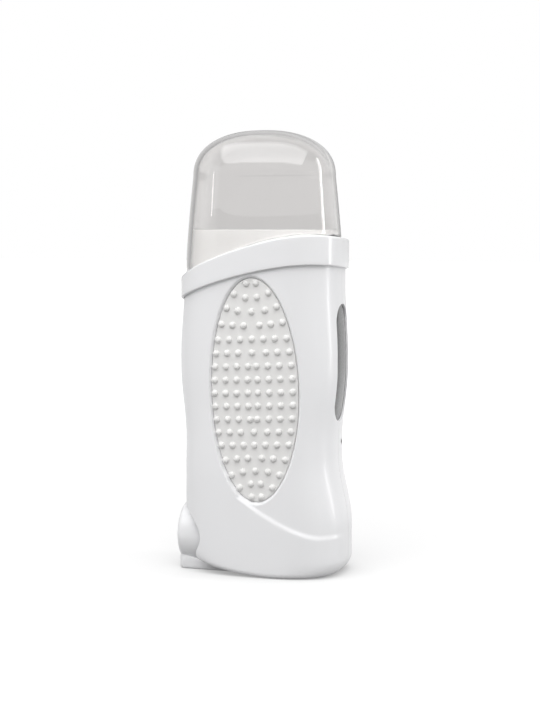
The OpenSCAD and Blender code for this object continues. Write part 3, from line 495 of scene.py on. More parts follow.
def thicken(vertices, faces, wall, lip):
    """A closed shell of that wall behind an open surface, its edges eased by lip."""
    vertices, faces = merged(vertices, faces)
    used = np.unique(np.concatenate([np.array(f) for f in faces]))
    renumber = -np.ones(len(vertices), int)
    renumber[used] = np.arange(len(used))
    vertices = vertices[used]
    faces = [[int(renumber[v]) for v in f] for f in faces]
    normals = vertex_normals(vertices, faces)
    edges = {(f[k - 1], f[k]) for f in faces for k in range(len(f))}
    border = [e for e in edges if (e[1], e[0]) not in edges]
    after, before = dict(border), {b: a for a, b in border}
    rim = sorted(set(after) & set(before))
    place_of = {v: k for k, v in enumerate(rim)}
    p = vertices[rim]
    along = vertices[[after[v] for v in rim]] - vertices[[before[v] for v in rim]]
    n = normals[rim]
    out = np.cross(along, n)
    out /= np.maximum(np.linalg.norm(out, axis=1, keepdims=True), 1e-12)
    half = math.sqrt(0.5)
    eased = p - lip * out
    rings = [eased - lip * n + lip * half * (n + out), p - lip * n, p - wall * n]
    inner = vertices - wall * normals
    inner[rim] = rings[2]
    count = len(vertices)
    outer = vertices.copy()
    outer[rim] = eased
    everything = np.concatenate([outer, inner, rings[0], rings[1]])
    solid = list(faces) + [[v + count for v in f[::-1]] for f in faces]

    def number(v, level):
        """Vertex v of the rim at a level: 0 outside, 1 and 2 on the easing, 3 inside."""
        if level in (0, 3):
            return v + (count if level else 0)
        return 2 * count + (level - 1) * len(rim) + place_of[v]
    for a, b in border:
        if a in place_of and b in place_of:
            for level in range(3):
                solid.append([number(b, level), number(a, level),
                              number(a, level + 1), number(b, level + 1)])
    return everything, solid


def trimmed(parameters, surface, faces, keep):
    """A surface cut along keep(points) = 0, where it is positive on the side that stays. Vertices
    near the cut slide onto it along their edges, so that the new edge is smooth."""
    points = surface(parameters)
    value = keep(points)
    pairs = {tuple(sorted((f[k - 1], f[k]))) for f in faces for k in range(len(f))}
    crossing = [e for e in pairs if value[e[0]] * value[e[1]] < 0]
    nearest = {}
    for i, j in crossing:
        low, high = 0.0, 1.0
        start = value[i]
        for _ in range(14):
            middle = (low + high) / 2
            probe = parameters[i] + (parameters[j] - parameters[i]) * middle
            if keep(surface(probe[None]))[0] * start > 0:
                low = middle
            else:
                high = middle
        at = parameters[i] + (parameters[j] - parameters[i]) * high
        for v, near in ((i, high), (j, 1 - high)):
            if near <= 0.5 and near < nearest.get(v, (9.0,))[0]:
                nearest[v] = (near, at)
    parameters, value = parameters.copy(), value.copy()
    for v, (_, at) in nearest.items():
        parameters[v] = at
        value[v] = 0.0
    kept = []
    for face in faces:
        inside = [v for v in face if value[v] >= 0]
        if len(inside) > 2 and any(value[v] > 0 for v in inside):
            kept.append(inside)
    return parameters, kept


def eased_copy(node, bevel, look):
    """The frame's own solid with its edges eased, in place of the node."""
    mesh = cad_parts[node].data.copy()
    mesh.name = node + "_eased"
    mesh.materials.clear()
    shape = bmesh.new()
    shape.from_mesh(mesh)
    bmesh.ops.remove_doubles(shape, verts=shape.verts, dist=2e-6)
    bmesh.ops.dissolve_limit(shape, angle_limit=math.radians(0.5), verts=shape.verts,
                             edges=shape.edges)
    shape.to_mesh(mesh)
    shape.free()
    piece = settle(node + "_eased", mesh, node, look, sharp=50.0)
    modifier = piece.modifiers.new("ease", "BEVEL")
    modifier.width = bevel
    modifier.segments = 2
    modifier.limit_method = "ANGLE"
    modifier.angle_limit = math.radians(40)
    modifier.use_clamp_overlap = True


# ---- shader groups and materials --------------------------------------------------------------

def feed(tree, node, inputs):
    """Give each of the node's inputs a value or another node's output."""
    for name, value in inputs.items():
        if isinstance(value, bpy.types.NodeSocket):
            tree.links.new(value, node.inputs[name])
        else:
            node.inputs[name].default_value = value


def add(tree, kind, inputs=None, **settings):
    """A new shader node of that kind, with these settings and inputs."""
    node = tree.nodes.new("ShaderNode" + kind)
    for name, value in settings.items():
        setattr(node, name, value)
    feed(tree, node, inputs or {})
    return node


def maths(tree, operation, *values):
    """What the operation makes of these values."""
    return add(tree, "Math", dict(enumerate(values)), operation=operation).outputs[0]


def swing(tree, texture, amount, middle):
    """A texture as a swing of that amount about a middle value."""
    return maths(tree, "MULTIPLY_ADD", maths(tree, "SUBTRACT", texture, 0.5), amount, middle)


def scaled_colour(tree, colour, amount):
    """The colour times an amount."""
    node = add(tree, "VectorMath", {0: colour, "Scale": amount}, operation="SCALE")
    return node.outputs[0]


def noise(tree, where, scale, detail):
    """A noise texture at the places given."""
    inputs = {"Vector": where, "Scale": scale, "Detail": detail}
    return add(tree, "TexNoise", inputs).outputs["Fac"]


def bumps(tree, texture, strength, distance):
    """The normal over a texture taken as height."""
    inputs = {"Strength": strength, "Distance": distance, "Height": texture}
    return add(tree, "Bump", inputs).outputs["Normal"]


def surface_group(name, inputs):
    """A shader node group with these {label: (type, default)} inputs, which gives a colour, a
    roughness and a normal. Returns its tree, its inputs as outputs inside, and its end node."""
    tree = bpy.data.node_groups.new(name, "ShaderNodeTree")
    for label, (kind, default) in inputs.items():
        socket = tree.interface.new_socket(label, in_out="INPUT", socket_type="NodeSocket" + kind)
        socket.default_value = default
    for label, kind in (("Colour", "Color"), ("Roughness", "Float"), ("Normal", "Vector")):
        tree.interface.new_socket(label, in_out="OUTPUT", socket_type="NodeSocket" + kind)
    return tree, tree.nodes.new("NodeGroupInput").outputs, tree.nodes.new("NodeGroupOutput")


def moulded_group(name):
    """Moulded plastic: slow drift of the tone, faint flow marks in the gloss and a fine grain."""
    tree, given, result = surface_group(name, {
        "Colour": ("Color", (0.8, 0.8, 0.8, 1)), "Drift": ("Float", 0.02),
        "Roughness": ("Float", 0.35), "Gloss marks": ("Float", 0.04),
        "Grain scale": ("Float", 2500.0), "Grain": ("Float", 0.05)})
    where = add(tree, "TexCoord").outputs["Object"]
    slow = noise(tree, where, 18.0, 3.0)
    marks = noise(tree, where, 90.0, 4.0)
    grain = noise(tree, where, given["Grain scale"], 1.0)
    drift = swing(tree, slow, given["Drift"], 1.0)
    feed(tree, result, {
        "Colour": scaled_colour(tree, given["Colour"], drift),
        "Roughness": swing(tree, marks, given["Gloss marks"], given["Roughness"]),
        "Normal": bumps(tree, grain, given["Grain"], 0.0001)})
    return tree


def drawn_group(name):
    """Rolled or drawn metal: streaks along one axis in the colour, the gloss and the normal."""
    tree, given, result = surface_group(name, {
        "Colour": ("Color", (0.7, 0.7, 0.72, 1)), "Stretch": ("Vector", (200.0, 200.0, 2500.0)),
        "Roughness": ("Float", 0.3), "Streaks": ("Float", 0.15)})
    where = add(tree, "TexCoord").outputs["Object"]
    drawn = add(tree, "VectorMath", {0: where, 1: given["Stretch"]}, operation="MULTIPLY")
    streak = noise(tree, drawn.outputs[0], 1.0, 3.0)
    bright = swing(tree, streak, given["Streaks"], 1.0)
    feed(tree, result, {
        "Colour": scaled_colour(tree, given["Colour"], bright),
        "Roughness": swing(tree, streak, given["Streaks"], given["Roughness"]),
        "Normal": bumps(tree, streak, given["Streaks"], 0.00005)})
    return tree


GROUP_MAKERS = {"moulded_surface": moulded_group, "drawn_metal": drawn_group}


def shader(name):
    """A new material, its Principled node and its tree."""
    made = bpy.data.materials.new(name)
    made.use_nodes = True
    return made, made.node_tree.nodes["Principled BSDF"], made.node_tree


def surfaced(name, effect_name, values, constants):
    """A material whose colour, roughness and normal come from a shader group with these values,
    and whose Principled node has these constants."""
    made, principled, tree = shader(name)
    shared = bpy.data.node_groups.get(effect_name) or GROUP_MAKERS[effect_name](effect_name)
    effect = add(tree, "Group", values, node_tree=shared).outputs
    feed(tree, principled, {"Base Color": effect["Colour"], "Roughness": effect["Roughness"],
                            "Normal": effect["Normal"], **constants})
    return made


def moulded(name, colour, roughness, grain=0.05, drift=0.02, grain_scale=2500.0, coat=0.0):
    """A moulded plastic or rubber."""
    return surfaced(
        name, "moulded_surface",
        {"Colour": (*colour, 1), "Drift": drift, "Roughness": roughness,
         "Grain scale": grain_scale, "Grain": grain},
        {"IOR": PLASTIC_IOR, "Coat Weight": coat, "Coat Roughness": 0.12})


def metal(name, colour, roughness):
    """A drawn or rolled metal."""
    return surfaced(name, "drawn_metal", {"Colour": (*colour, 1), "Roughness": roughness},
                    {"Metallic": 1.0})


def clear_plastic(name, colour, roughness):
    """A clear moulded plastic, with the faint waves of its mould."""
    return surfaced(
        name, "moulded_surface",
        {"Colour": (*colour, 1), "Drift": 0.01, "Roughness": roughness,
         "Gloss marks": roughness / 2, "Grain scale": 120.0, "Grain": 0.01},
        {"IOR": PLASTIC_IOR, "Transmission Weight": 1.0})


def paint(piece, look):
    """Give the piece that material on all its faces."""
    piece.data.materials.clear()
    piece.data.materials.append(look)


def material(name, make, *values, **named):
    """The heater's material of that name, made the first time that it is asked for. The frame has
    plain materials of its own, so these names start with heater_."""
    name = "heater_" + name
    return bpy.data.materials.get(name) or make(name, *values, **named)


def shell_white():
    """Satin white of the shells, the drum and the foot."""
    finish = sizes("finish")
    return material("satin_white", moulded, finish.white, finish.shell_rough, coat=0.15)


def neck_white():
    """Matte white of the neck, the chamber and the lamp's holder."""
    return material("neck_white", moulded, sizes("finish").neck, 0.38, grain=0.02)


# ---- operators ----------------------------------------------------------------------------------

class HeaterPart(bpy.types.Operator):
    """What every operator of the heater shares."""
    bl_options = {"REGISTER", "UNDO"}

    def execute(self, context):
        self.build()
        return {"FINISHED"}


class HEATER_OT_shells(HeaterPart):
    """Build the front and the rear shell, with the oval recess and the sweeping step"""
    bl_idname = "heater.shells"
    bl_label = "Shells"

    straight_z = 0.110        # rows are level up to here, and then follow the collar
    underside_rows = 9

    def rows(self, spacing):
        """Heights of the level rows, close together round the bottom edge."""
        body = sizes("body")
        edge = body.base_round * (1 - np.cos(np.linspace(0, math.pi / 2, 16)))
        count = int((self.straight_z - body.base_round) / spacing)
        return np.concatenate([edge[:-1], np.linspace(body.base_round, self.straight_z, count)])

    def grid(self, start, columns, spacing):
        """Parameters (direction, height, share of the underside) of one shell's grid, and the
        number of its rows that lie under it."""
        body = sizes("body")
        phi = even_angles(start, start + math.pi, columns, body.waist_w / 2, body.depth / 2)
        level = self.rows(spacing)
        climb = np.linspace(0, 1, int(0.032 / spacing))[1:]
        seat = seat_height(phi, shoulder_radius(phi))
        heights = np.concatenate([
            np.repeat(level[:, None], len(phi), axis=1),
            self.straight_z + climb[:, None] * (seat[None] - self.straight_z)])
        under = np.linspace(1, 0, self.underside_rows)[:-1]
        heights = np.concatenate([np.zeros((len(under), len(phi))), heights])
        tuck = np.concatenate([np.repeat(under[:, None], len(phi), axis=1),
                               np.zeros((len(heights) - len(under), len(phi)))])
        return np.stack([np.broadcast_to(phi, heights.shape), heights, tuck], axis=-1), len(under)

    @staticmethod
    def surface(parameters):
        """The points at the grid's parameters."""
        phi, z, tuck = np.moveaxis(parameters, -1, 0)
        points = body_points(phi, z)
        points[..., 1] *= 1 - tuck
        return points

    @staticmethod
    def openings(points):
        """Positive outside the window and the drum's opening, in metres from their edges."""
        window, inlet = sizes("window"), sizes("inlet")
        x, y, z = points[..., 0], points[..., 1], points[..., 2]
        straight = (window.height - window.width) / 2
        past = np.maximum(0, np.abs(z - window.middle_z) - straight)
        slot = np.hypot(y, past) - window.width / 2
        slot = np.where(x > 0, slot, 1.0)
        drum = np.hypot(y - inlet.axis_y, z - inlet.axis_z) - inlet.radius - inlet.reveal
        behind = x - (inlet.length - inlet.end_x + 0.0003)
        edge = np.minimum(slot, np.maximum(drum, behind))
        for at_x, at_z in screw_places():
            hole = np.hypot(x - at_x, z - at_z) - SCREW_BORE
            edge = np.minimum(edge, np.where(y > 0, hole, 1.0))
        return edge

    def recess(self, parameters, index, first_row):
        """Vertices and faces of the oval recess, and the block of the grid that they replace."""
        pad = sizes("pad")
        points = self.surface(parameters)
        middle = first_row + int(np.argmin(np.abs(parameters[first_row:, 0, 1] - pad.oval_z)))
        x = points[middle, :, 0]
        margin = 0.0035
        left = int(np.searchsorted(x, pad.oval_x - pad.oval_w / 2 - margin)) - 1
        right = int(np.searchsorted(x, pad.oval_x + pad.oval_w / 2 + margin))
        low_z = pad.oval_z - pad.oval_h / 2 - 0.0022
        low = first_row + int(np.searchsorted(parameters[first_row:, 0, 1], low_z)) - 1
        high = len(parameters) - 4
        ring = ([(low, c) for c in range(left, right)] + [(r, right) for r in range(low, high)]
                + [(high, c) for c in range(right, left, -1)]
                + [(r, left) for r in range(high, low, -1)])
        border = np.array([index[r, c] for r, c in ring])
        at = points.reshape(-1, 3)[border][:, [0, 2]]
        centre = np.array([pad.oval_x, pad.oval_z])
        half = (at.max(axis=0) - at.min(axis=0)) / 2
        t = np.arctan2((at[:, 1] - centre[1]) / half[1], (at[:, 0] - centre[0]) / half[0])
        rings, depths = [], []
        outer = oval_points(t, 0.0012)
        for s in 1 - (1 - np.arange(1, 23) / 22) ** 1.5:
            rings.append(at + (outer - at) * s)
            depths.append(0.0)
        # over the rounded edge, down the wall and across the floor under the pad
        profile = [(0.8, 0.0), (0.45, 0.015), (0.2, 0.06), (0.0, 0.15), (-0.15, 0.27),
                   (-0.3, 0.44), (-0.5, 0.68), (-0.7, 0.93), (-0.9, 1.2), (-0.98, 1.6),
                   (-1.0, 2.05), (-1.2, 2.1), (-4, 2.1), (-8, 2.1), (-13, 2.1), (-18, 2.1)]
        for grow, depth in profile:
            rings.append(oval_points(t, grow * 0.001))
            depths.append(depth * 0.001)
        added = [front_points(r[:, 0], r[:, 1], d) for r, d in zip(rings, depths)]
        added.append(front_points(np.array([pad.oval_x]), np.array([pad.oval_z]), 0.0021))
        return (low, high, left, right), border, added

    def close(self, side, vertices, faces):
        """The shell of that side, with these outside faces and its screw pillars."""
        body = sizes("body")
        shell = joined(thicken(vertices, faces, body.wall, body.lip), self.pillars(side == "rear"))
        skin(side + "_shell_skin", side + "_shell", *shell, "shell_plastic", shell_white())

    def build_front(self):
        """The front shell."""
        parameters, first_row = self.grid(math.pi, 190, 0.0007)
        rows, columns = parameters.shape[:2]
        index = np.arange(rows * columns).reshape(rows, columns)
        (low, high, left, right), outer, added = self.recess(parameters, index, first_row)
        cells = np.ones((rows - 1, columns - 1), bool)
        cells[low:high, left:right] = False
        faces = [f for f, on in zip(grid_faces(index), cells.ravel()) if on]
        flat, faces = trimmed(parameters.reshape(-1, 3), self.surface, faces, self.openings)
        vertices = self.surface(flat)
        for ring in added[:-1]:
            inner = np.arange(len(vertices), len(vertices) + len(ring))
            vertices = np.concatenate([vertices, ring])
            quads = zip(outer, np.roll(outer, -1), np.roll(inner, -1), inner)
            faces += [[int(v) for v in quad] for quad in quads]
            outer = inner
        middle = len(vertices)
        faces += [[int(a), int(b), middle] for a, b in zip(outer, np.roll(outer, -1))]
        self.close("front", np.concatenate([vertices, added[-1]]), faces)

    def build_rear(self):
        """The rear shell."""
        parameters, _ = self.grid(0.0, 130, 0.0010)
        rows, columns = parameters.shape[:2]
        faces = grid_faces(np.arange(rows * columns).reshape(rows, columns))
        flat, faces = trimmed(parameters.reshape(-1, 3), self.surface, faces, self.openings)
        self.close("rear", self.surface(flat), faces)

    def pillars(self, rear):
        """Vertices and faces of one shell's screw pillars, which end inside its wall."""
        wall = sizes("body").wall
        turn = full_turn(40)
        seat, core, bore, tip = 0.007, 0.0026, 0.00145, -0.0103
        step = seat - 0.0012
        parts = []
        for x, z in screw_places():
            def wall_at(r):
                """Depth of the middle of the wall round a circle of radius r."""
                there = front_points(x + r * np.cos(turn), z + r * np.sin(turn), wall / 2)
                return np.maximum(-there[:, 1], step)
            if rear:
                profile = [(bore, 0.0), (core, 0.0), (core, step), (SLEEVE_R, step),
                           (SLEEVE_R, wall_at(SLEEVE_R)), (SCREW_BORE, wall_at(SCREW_BORE)),
                           (SCREW_BORE, seat + 0.001), (bore, seat + 0.001)]
            else:
                profile = [(bore, 0.0), (bore, tip), (0.0, tip), (0.0, -wall_at(0.0)),
                           (core, -wall_at(core)), (core, 0.0)]
            rings = [np.stack([x + r * np.cos(turn), y + 0 * turn, z + r * np.sin(turn)], axis=-1)
                     for r, y in profile]
            vertices, faces = loft(rings, closed=True)
            parts.append((vertices, [f[::-1] for f in faces]))
        return joined(*parts)

    def build(self):
        self.build_front()
        self.build_rear()


def oval_points(t, grow):
    """Points (x, z) of the oval in directions t, grown by a distance."""
    pad = sizes("pad")
    u, v = (pad.oval_w / 2 + grow) * np.cos(t), (pad.oval_h / 2 + grow) * np.sin(t)
    c, s = math.cos(pad.lean), math.sin(pad.lean)
    return np.stack([pad.oval_x + u * c - v * s, pad.oval_z + u * s + v * c], axis=-1)


class HEATER_OT_grip_pad(HeaterPart):
    """Build the soft oval pad with its rows of pips"""
    bl_idname = "heater.grip_pad"
    bl_label = "Grip pad"

    def pips(self):
        """Places (x, z) of the pips: rows set in from both ends, and one in the middle if one is
        left over."""
        pad = sizes("pad")
        reach_w, reach_h = pad.oval_w / 2 - 0.0031, pad.oval_h / 2 - 0.0032
        pitch = (pad.oval_h / 2 - pad.end_gap) / pad.rows
        places = []
        for k in range(-pad.rows, pad.rows + 1):
            sag = 1 - (k / pad.rows) ** 2
            bend = math.copysign(min(pad.row_bend, max(0, (abs(k) - 4) * pad.row_bend / 2)), k)
            middle_x = pad.oval_x - k * pitch * math.tan(pad.lean) - pad.row_shift * sag
            middle_z = k * pitch - pad.row_sag * sag
            reach = reach_w * math.sqrt(max(0, 1 - ((middle_z + bend) / reach_h) ** 2))
            end = max(pad.row_min / 2, reach)
            count = int(2 * end / pad.pip_pitch + 1.5)
            ends = [end - i * pad.pip_pitch for i in range(count // 2)]
            for u in [-e for e in ends] + ends + [0.0] * (count % 2):
                curl = bend * (u / max(end, pad.pip_pitch)) ** 2
                z = middle_z + curl + u * math.tan(pad.row_tilt)
                places.append((middle_x + u, pad.oval_z + z))
        return places

    def build(self):
        pad = sizes("pad")
        t = full_turn(360)
        under = pad.depth + pad.thickness - 0.00002
        edge = -0.00115
        profile = [(-0.016, under), (-0.008, under), (edge, under), (edge, pad.depth + 0.0003),
                   (edge - 0.00009, pad.depth + 0.0001), (edge - 0.0003, pad.depth)]
        profile += [(g, pad.depth) for g in np.arange(-0.0024, -0.0215, -0.0012)]
        rings = [front_points(*oval_points(t, g).T, d) for g, d in profile]
        middle = [front_points(np.array([pad.oval_x]), np.array([pad.oval_z]), d)[0]
                  for d in (under, pad.depth)]
        parts = [loft(rings, *middle)]
        # a pip stands on the pad as a dome with a small fillet at its foot
        r = pad.pip_r
        arc = np.radians([12, 25, 40, 55, 70, 82])
        outline = [(1.22 * r, -0.04 * r), (1.12 * r, 0.0), (1.04 * r, 0.04 * r), (r, 0.12 * r)]
        outline += [(r * math.cos(a), (0.08 + 0.84 * math.sin(a)) * r) for a in arc]
        turn = full_turn(28)
        for x, z in self.pips():
            circle = []
            for radius, height in outline:
                ring = front_points(x + radius * np.cos(turn), z + radius * np.sin(turn), pad.depth)
                ring[:, 1] -= height
                circle.append(ring)
            tip = front_points(np.array([x]), np.array([z]), pad.depth)[0] - [0, 0.92 * r, 0]
            parts.append(loft(circle, None, tip))
        finish = sizes("finish")
        look = material("soft_pad", moulded, finish.pad, finish.pad_rough, grain=0.18,
                        grain_scale=5000.0, drift=0.03)
        skin("grip_pad_skin", "grip_pad", *joined(*parts), "pad_rubber", look)


class HEATER_OT_collar(HeaterPart):
    """Build the sloping collar"""
    bl_idname = "heater.collar"
    bl_label = "Collar"

    def build(self):
        body, collar = sizes("body"), sizes("collar")
        phi = even_angles(0, 2 * math.pi, 360, body.shoulder_w / 2, body.depth / 2)[:-1]
        top, low = collar_edge(phi), collar_edge(phi, low=True)
        out = shoulder_radius(phi, collar.proud)
        seat = seat_height(phi, shoulder_radius(phi))
        neck = neck_radius(phi, top, -SEAM)
        neck_low = neck_radius(phi, seat, -SEAM)

        def bore(z):
            """Radius round the shells at height z."""
            return squircle(phi, half_width(z, np.cos(phi)), body.depth / 2) + SEAM
        rings = [(neck, top - 0.0006), (neck_low, seat_height(phi, neck_low) + SEAM),
                 (bore(seat), seat + SEAM)]
        rings += [(bore(seat + (low - seat) * s), seat + (low - seat) * s) for s in (0.35, 0.7)]
        rings += [(bore(low), low + 0.0002), (bore(low) + 0.0002, low)]
        low_r, top_r = 0.0006, 0.0009
        rings += [(out - low_r + low_r * math.sin(a), low + low_r - low_r * math.cos(a))
                  for a in np.radians([0, 22, 45, 67, 90])]
        rings += [(out, low + (top - low) * k / 5) for k in (1, 2, 3, 4)]
        rings += [(out - top_r + top_r * math.cos(a), top - top_r + top_r * math.sin(a))
                  for a in np.radians([0, 18, 36, 54, 72, 90])]
        rings += [(neck + 0.0006, top), (neck + SEAM, top - SEAM)]
        finish = sizes("finish")
        look = material("collar_white", moulded, finish.white, finish.shell_rough - 0.08,
                        coat=0.3, grain=0.02)
        points = [upright_ring(phi, r, z) for r, z in rings]
        skin("collar_skin", "trim_collar", *loft(points, closed=True), "collar_plastic", look)


def neck_radius(phi, z, inset):
    """Radius of the neck's outside in direction phi at height z, inset by a distance."""
    cap = sizes("cap")
    a, b = cap_half(np.minimum(z, cap.dome_z), cap.wall + cap.gap + inset)
    return squircle(phi, a, b)


class HEATER_OT_neck(HeaterPart):
    """Build the neck that the cap is pushed over, with its deck"""
    bl_idname = "heater.neck"
    bl_label = "Neck"

    def build(self):
        cap = sizes("cap")
        chamber_low, chamber_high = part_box("cartridge_chamber")
        half_w, half_d = chamber_high.x - LIP_W, -chamber_low.y - LIP_W
        corner = 0.0083
        phi = even_angles(0, 2 * math.pi, 288, half_w, half_d)[:-1]
        ease, under = 0.0005, cap.deck_z - 0.002
        opening = oblong(phi, half_w + SEAM, half_d + SEAM, corner + SEAM)

        def at(inset, z):
            return neck_radius(phi, z, inset), z
        bend = np.radians([0, 30, 60, 90])
        rings = [at(cap.neck_wall - ease + ease * math.sin(a),
                    cap.rim_z - ease + ease * math.cos(a)) for a in bend]
        rings += [at(cap.neck_wall, z) for z in (0.156, 0.152, 0.148)]
        rings += [at(cap.neck_wall + ease - ease * math.cos(a),
                     cap.deck_z + ease - ease * math.sin(a)) for a in bend]
        rings += [(opening, cap.deck_z), (opening, under), at(cap.neck_wall, under),
                  at(cap.neck_wall, cap.ledge_z), at(0, cap.ledge_z)]
        rings += [at(0, z) for z in np.linspace(cap.ledge_z, cap.rim_z - ease, 12)[1:-1]]
        rings += [at(ease - ease * math.cos(a), cap.rim_z - ease + ease * math.sin(a))
                  for a in bend]
        points = [upright_ring(phi, r, z) for r, z in rings]
        skin("neck_skin", "neck_ring", *loft(points, closed=True), "chamber_plastic", neck_white())


class HEATER_OT_cap(HeaterPart):
    """Build the clear cap"""
    bl_idname = "heater.cap"
    bl_label = "Clear cap"

    def rings(self, phi, inset, foot, count):
        """Rings (radius, height) of one side of the cap, from its foot up."""
        cap = sizes("cap")
        heights = [foot + (cap.dome_z - foot) * s for s in np.linspace(0, 1, count)]
        rise = cap.top_z - inset - cap.dome_z
        heights += [np.full_like(phi, cap.dome_z + rise * s)
                    for s in np.sin(np.radians(np.linspace(3, 88, 26)))]
        return [(squircle(phi, *cap_half(z, inset)), z) for z in heights]

    def build(self):
        cap = sizes("cap")
        phi = full_turn(240)
        foot = collar_edge(phi) + cap.rest_gap
        ease = 0.0003
        turn_in = ease * (1 - math.sqrt(0.5))
        outer = self.rings(phi, 0.0, foot + ease, 26)
        inner = self.rings(phi, cap.wall, foot + ease, 26)
        r_out, r_in = outer[0][0], inner[0][0]
        turn = [(r_in + turn_in, foot + turn_in), (r_in + ease, foot), ((r_in + r_out) / 2, foot),
                (r_out - ease, foot), (r_out - turn_in, foot + turn_in)]
        points = [upright_ring(phi, r, z) for r, z in inner[::-1] + turn + outer]
        vertices, faces = loft(points, (0, 0, cap.top_z - cap.wall), (0, 0, cap.top_z))
        look = material("clear_cap", clear_plastic, sizes("finish").clear, 0.03)
        skin("cap_skin", "travel_cap", vertices, faces, "clear_cap", look, body="cap")


class HEATER_OT_window(HeaterPart):
    """Build the level window's lens"""
    bl_idname = "heater.window"
    bl_label = "Window"

    def plate(self, grow, inset, thickness, ease):
        """A plate that follows the side, as wide and high as the window plus grow all round."""
        window = sizes("window")
        r = window.width / 2 + grow
        straight = (window.height - window.width) / 2
        end = r * np.sin(np.radians(np.linspace(0, 90, 15)))
        z = np.concatenate([-straight - end[::-1], np.linspace(-straight, straight, 40)[1:-1],
                            straight + end])
        half = np.sqrt(np.maximum(0, r * r - np.maximum(0, np.abs(z) - straight) ** 2))
        across = np.sin(np.linspace(-math.pi / 2, math.pi / 2, 19))
        y = half[:, None] * across
        points = side_points(y, window.middle_z + np.repeat(z[:, None], len(across), axis=1), inset)
        index = np.arange(points.size // 3).reshape(points.shape[:2])
        return thicken(points.reshape(-1, 3), grid_faces(index), thickness, ease)

    def build(self):
        window, body = sizes("window"), sizes("body")
        rim_at, edge = body.wall + 0.0005, 0.0016
        lens = self.plate(-SEAM, window.sunk, window.thickness, 0.0004)
        rim = self.plate(edge, rim_at, window.sunk + window.thickness - rim_at, 0.0001)
        look = material("smoked_lens", clear_plastic, sizes("finish").smoke, 0.04)
        piece = skin("window_skin", "window_lens", *joined(lens, rim), "clear_lens", look)
        # faces that do not face out of the side take a near-black clear plastic: painted shade for
        # the dark outline that refraction gives the window
        piece.data.materials.append(material("lens_edge_painted_shade", clear_plastic, (0.10, 0.10, 0.11), 0.1))
        for face in piece.data.polygons:
            face.material_index = int(abs(face.normal.x) < 0.5)


class HEATER_OT_inlet(HeaterPart):
    """Build the inlet drum with its foot, and the dark socket in it"""
    bl_idname = "heater.inlet"
    bl_label = "Inlet"

    def ring(self, turn, radius, x):
        """A ring round the drum's axis."""
        inlet = sizes("inlet")
        return np.stack([np.full_like(turn, x), inlet.axis_y + radius * np.cos(turn),
                         inlet.axis_z + radius * np.sin(turn)], axis=-1)

    @staticmethod
    def slot(turn):
        """Radii of the opening round the socket."""
        inlet = sizes("inlet")
        half_w, half_h = (inlet.socket_w + 0.0031) / 2, (inlet.socket_h + 0.0031) / 2
        return oblong(turn, half_w, half_h, half_h)

    def drum(self):
        """The drum, from the socket's bore round the end face and back."""
        inlet = sizes("inlet")
        turn = full_turn(192)
        slot = self.slot(turn)
        front, back = -inlet.end_x, inlet.length - inlet.end_x
        ease, r = 0.0003, 0.0025
        rings = [(slot, back), (slot, front + ease), (slot + ease, front)]
        face_r = inlet.radius - r
        rings += [(slot + (face_r - slot) * s, front) for s in (0.25, 0.5, 0.75)]
        rings += [(np.full_like(turn, face_r + r * math.sin(a)), front + r - r * math.cos(a))
                  for a in np.radians(np.linspace(0, 90, 9))]
        rings += [(np.full_like(turn, inlet.radius), front + r + (back - front - r) * s)
                  for s in (0.3, 0.6, 1.0)]
        points = [self.ring(turn, radius, x) for radius, x in rings]
        return loft(points, closed=True)

    def foot(self):
        """The foot, which fills the space below the raised underside."""
        inlet = sizes("inlet")
        front, back = inlet.axis_y - 0.012, 0.014
        half_w, half_d, corner = inlet.foot_len / 2, (back - front) / 2, 0.0032
        middle = np.array([half_w - inlet.end_x, (front + back) / 2])
        turn = even_angles(0, 2 * math.pi, 200, half_w, half_d)[:-1]

        def outline(inset, share_up):
            r = oblong(turn, half_w - inset, half_d - inset, corner - inset)
            x, y = middle[0] + r * np.cos(turn), middle[1] + r * np.sin(turn)
            top = np.minimum(0.0065, np.maximum(0.0007, rise_at(x + 0.001) - 0.00015))
            return np.stack([x, y, top * share_up], axis=-1)
        ease = 0.0009
        rings = [outline(0.008, 0), outline(0.004, 0), outline(ease, 0)]
        rings += [outline(ease - ease * math.sin(a), 0.14 * (1 - math.cos(a)))
                  for a in np.radians([30, 60, 90])]
        rings += [outline(0, s) for s in (0.4, 0.65, 0.88)]
        rings += [outline(0.0002, 0.97), outline(0.0006, 1.0), outline(0.004, 1.0),
                  outline(0.008, 1.0)]
        low = np.array([middle[0], middle[1], 0.0])
        high = np.array([middle[0], middle[1], float(rise_at(middle[0])) - 0.00015])
        return loft(rings, low, high)

    def flange(self):
        """The plate that the shells clamp."""
        inlet = sizes("inlet")
        turn = full_turn(128)
        x = inlet.length - inlet.end_x
        r = oblong(turn, 0.017, 0.0105, 0.002)
        slot = self.slot(turn)
        half, ease = 0.0012, 0.0003
        rings = [(slot, x + half), (slot, x - half), (r - ease, x - half), (r, x - half + ease),
                 (r, x + half - ease), (r - ease, x + half)]
        return loft([self.ring(turn, radius, at) for radius, at in rings], closed=True)

    def build(self):
        vertices, faces = joined(self.drum(), self.foot(), self.flange())
        skin("inlet_skin", "inlet_housing", vertices, faces, "drum_plastic", shell_white())
        look = material("dark_insert", moulded, (0.03, 0.03, 0.032), 0.5, grain=0.2)
        eased_copy("inlet_insert", 0.0002, look)


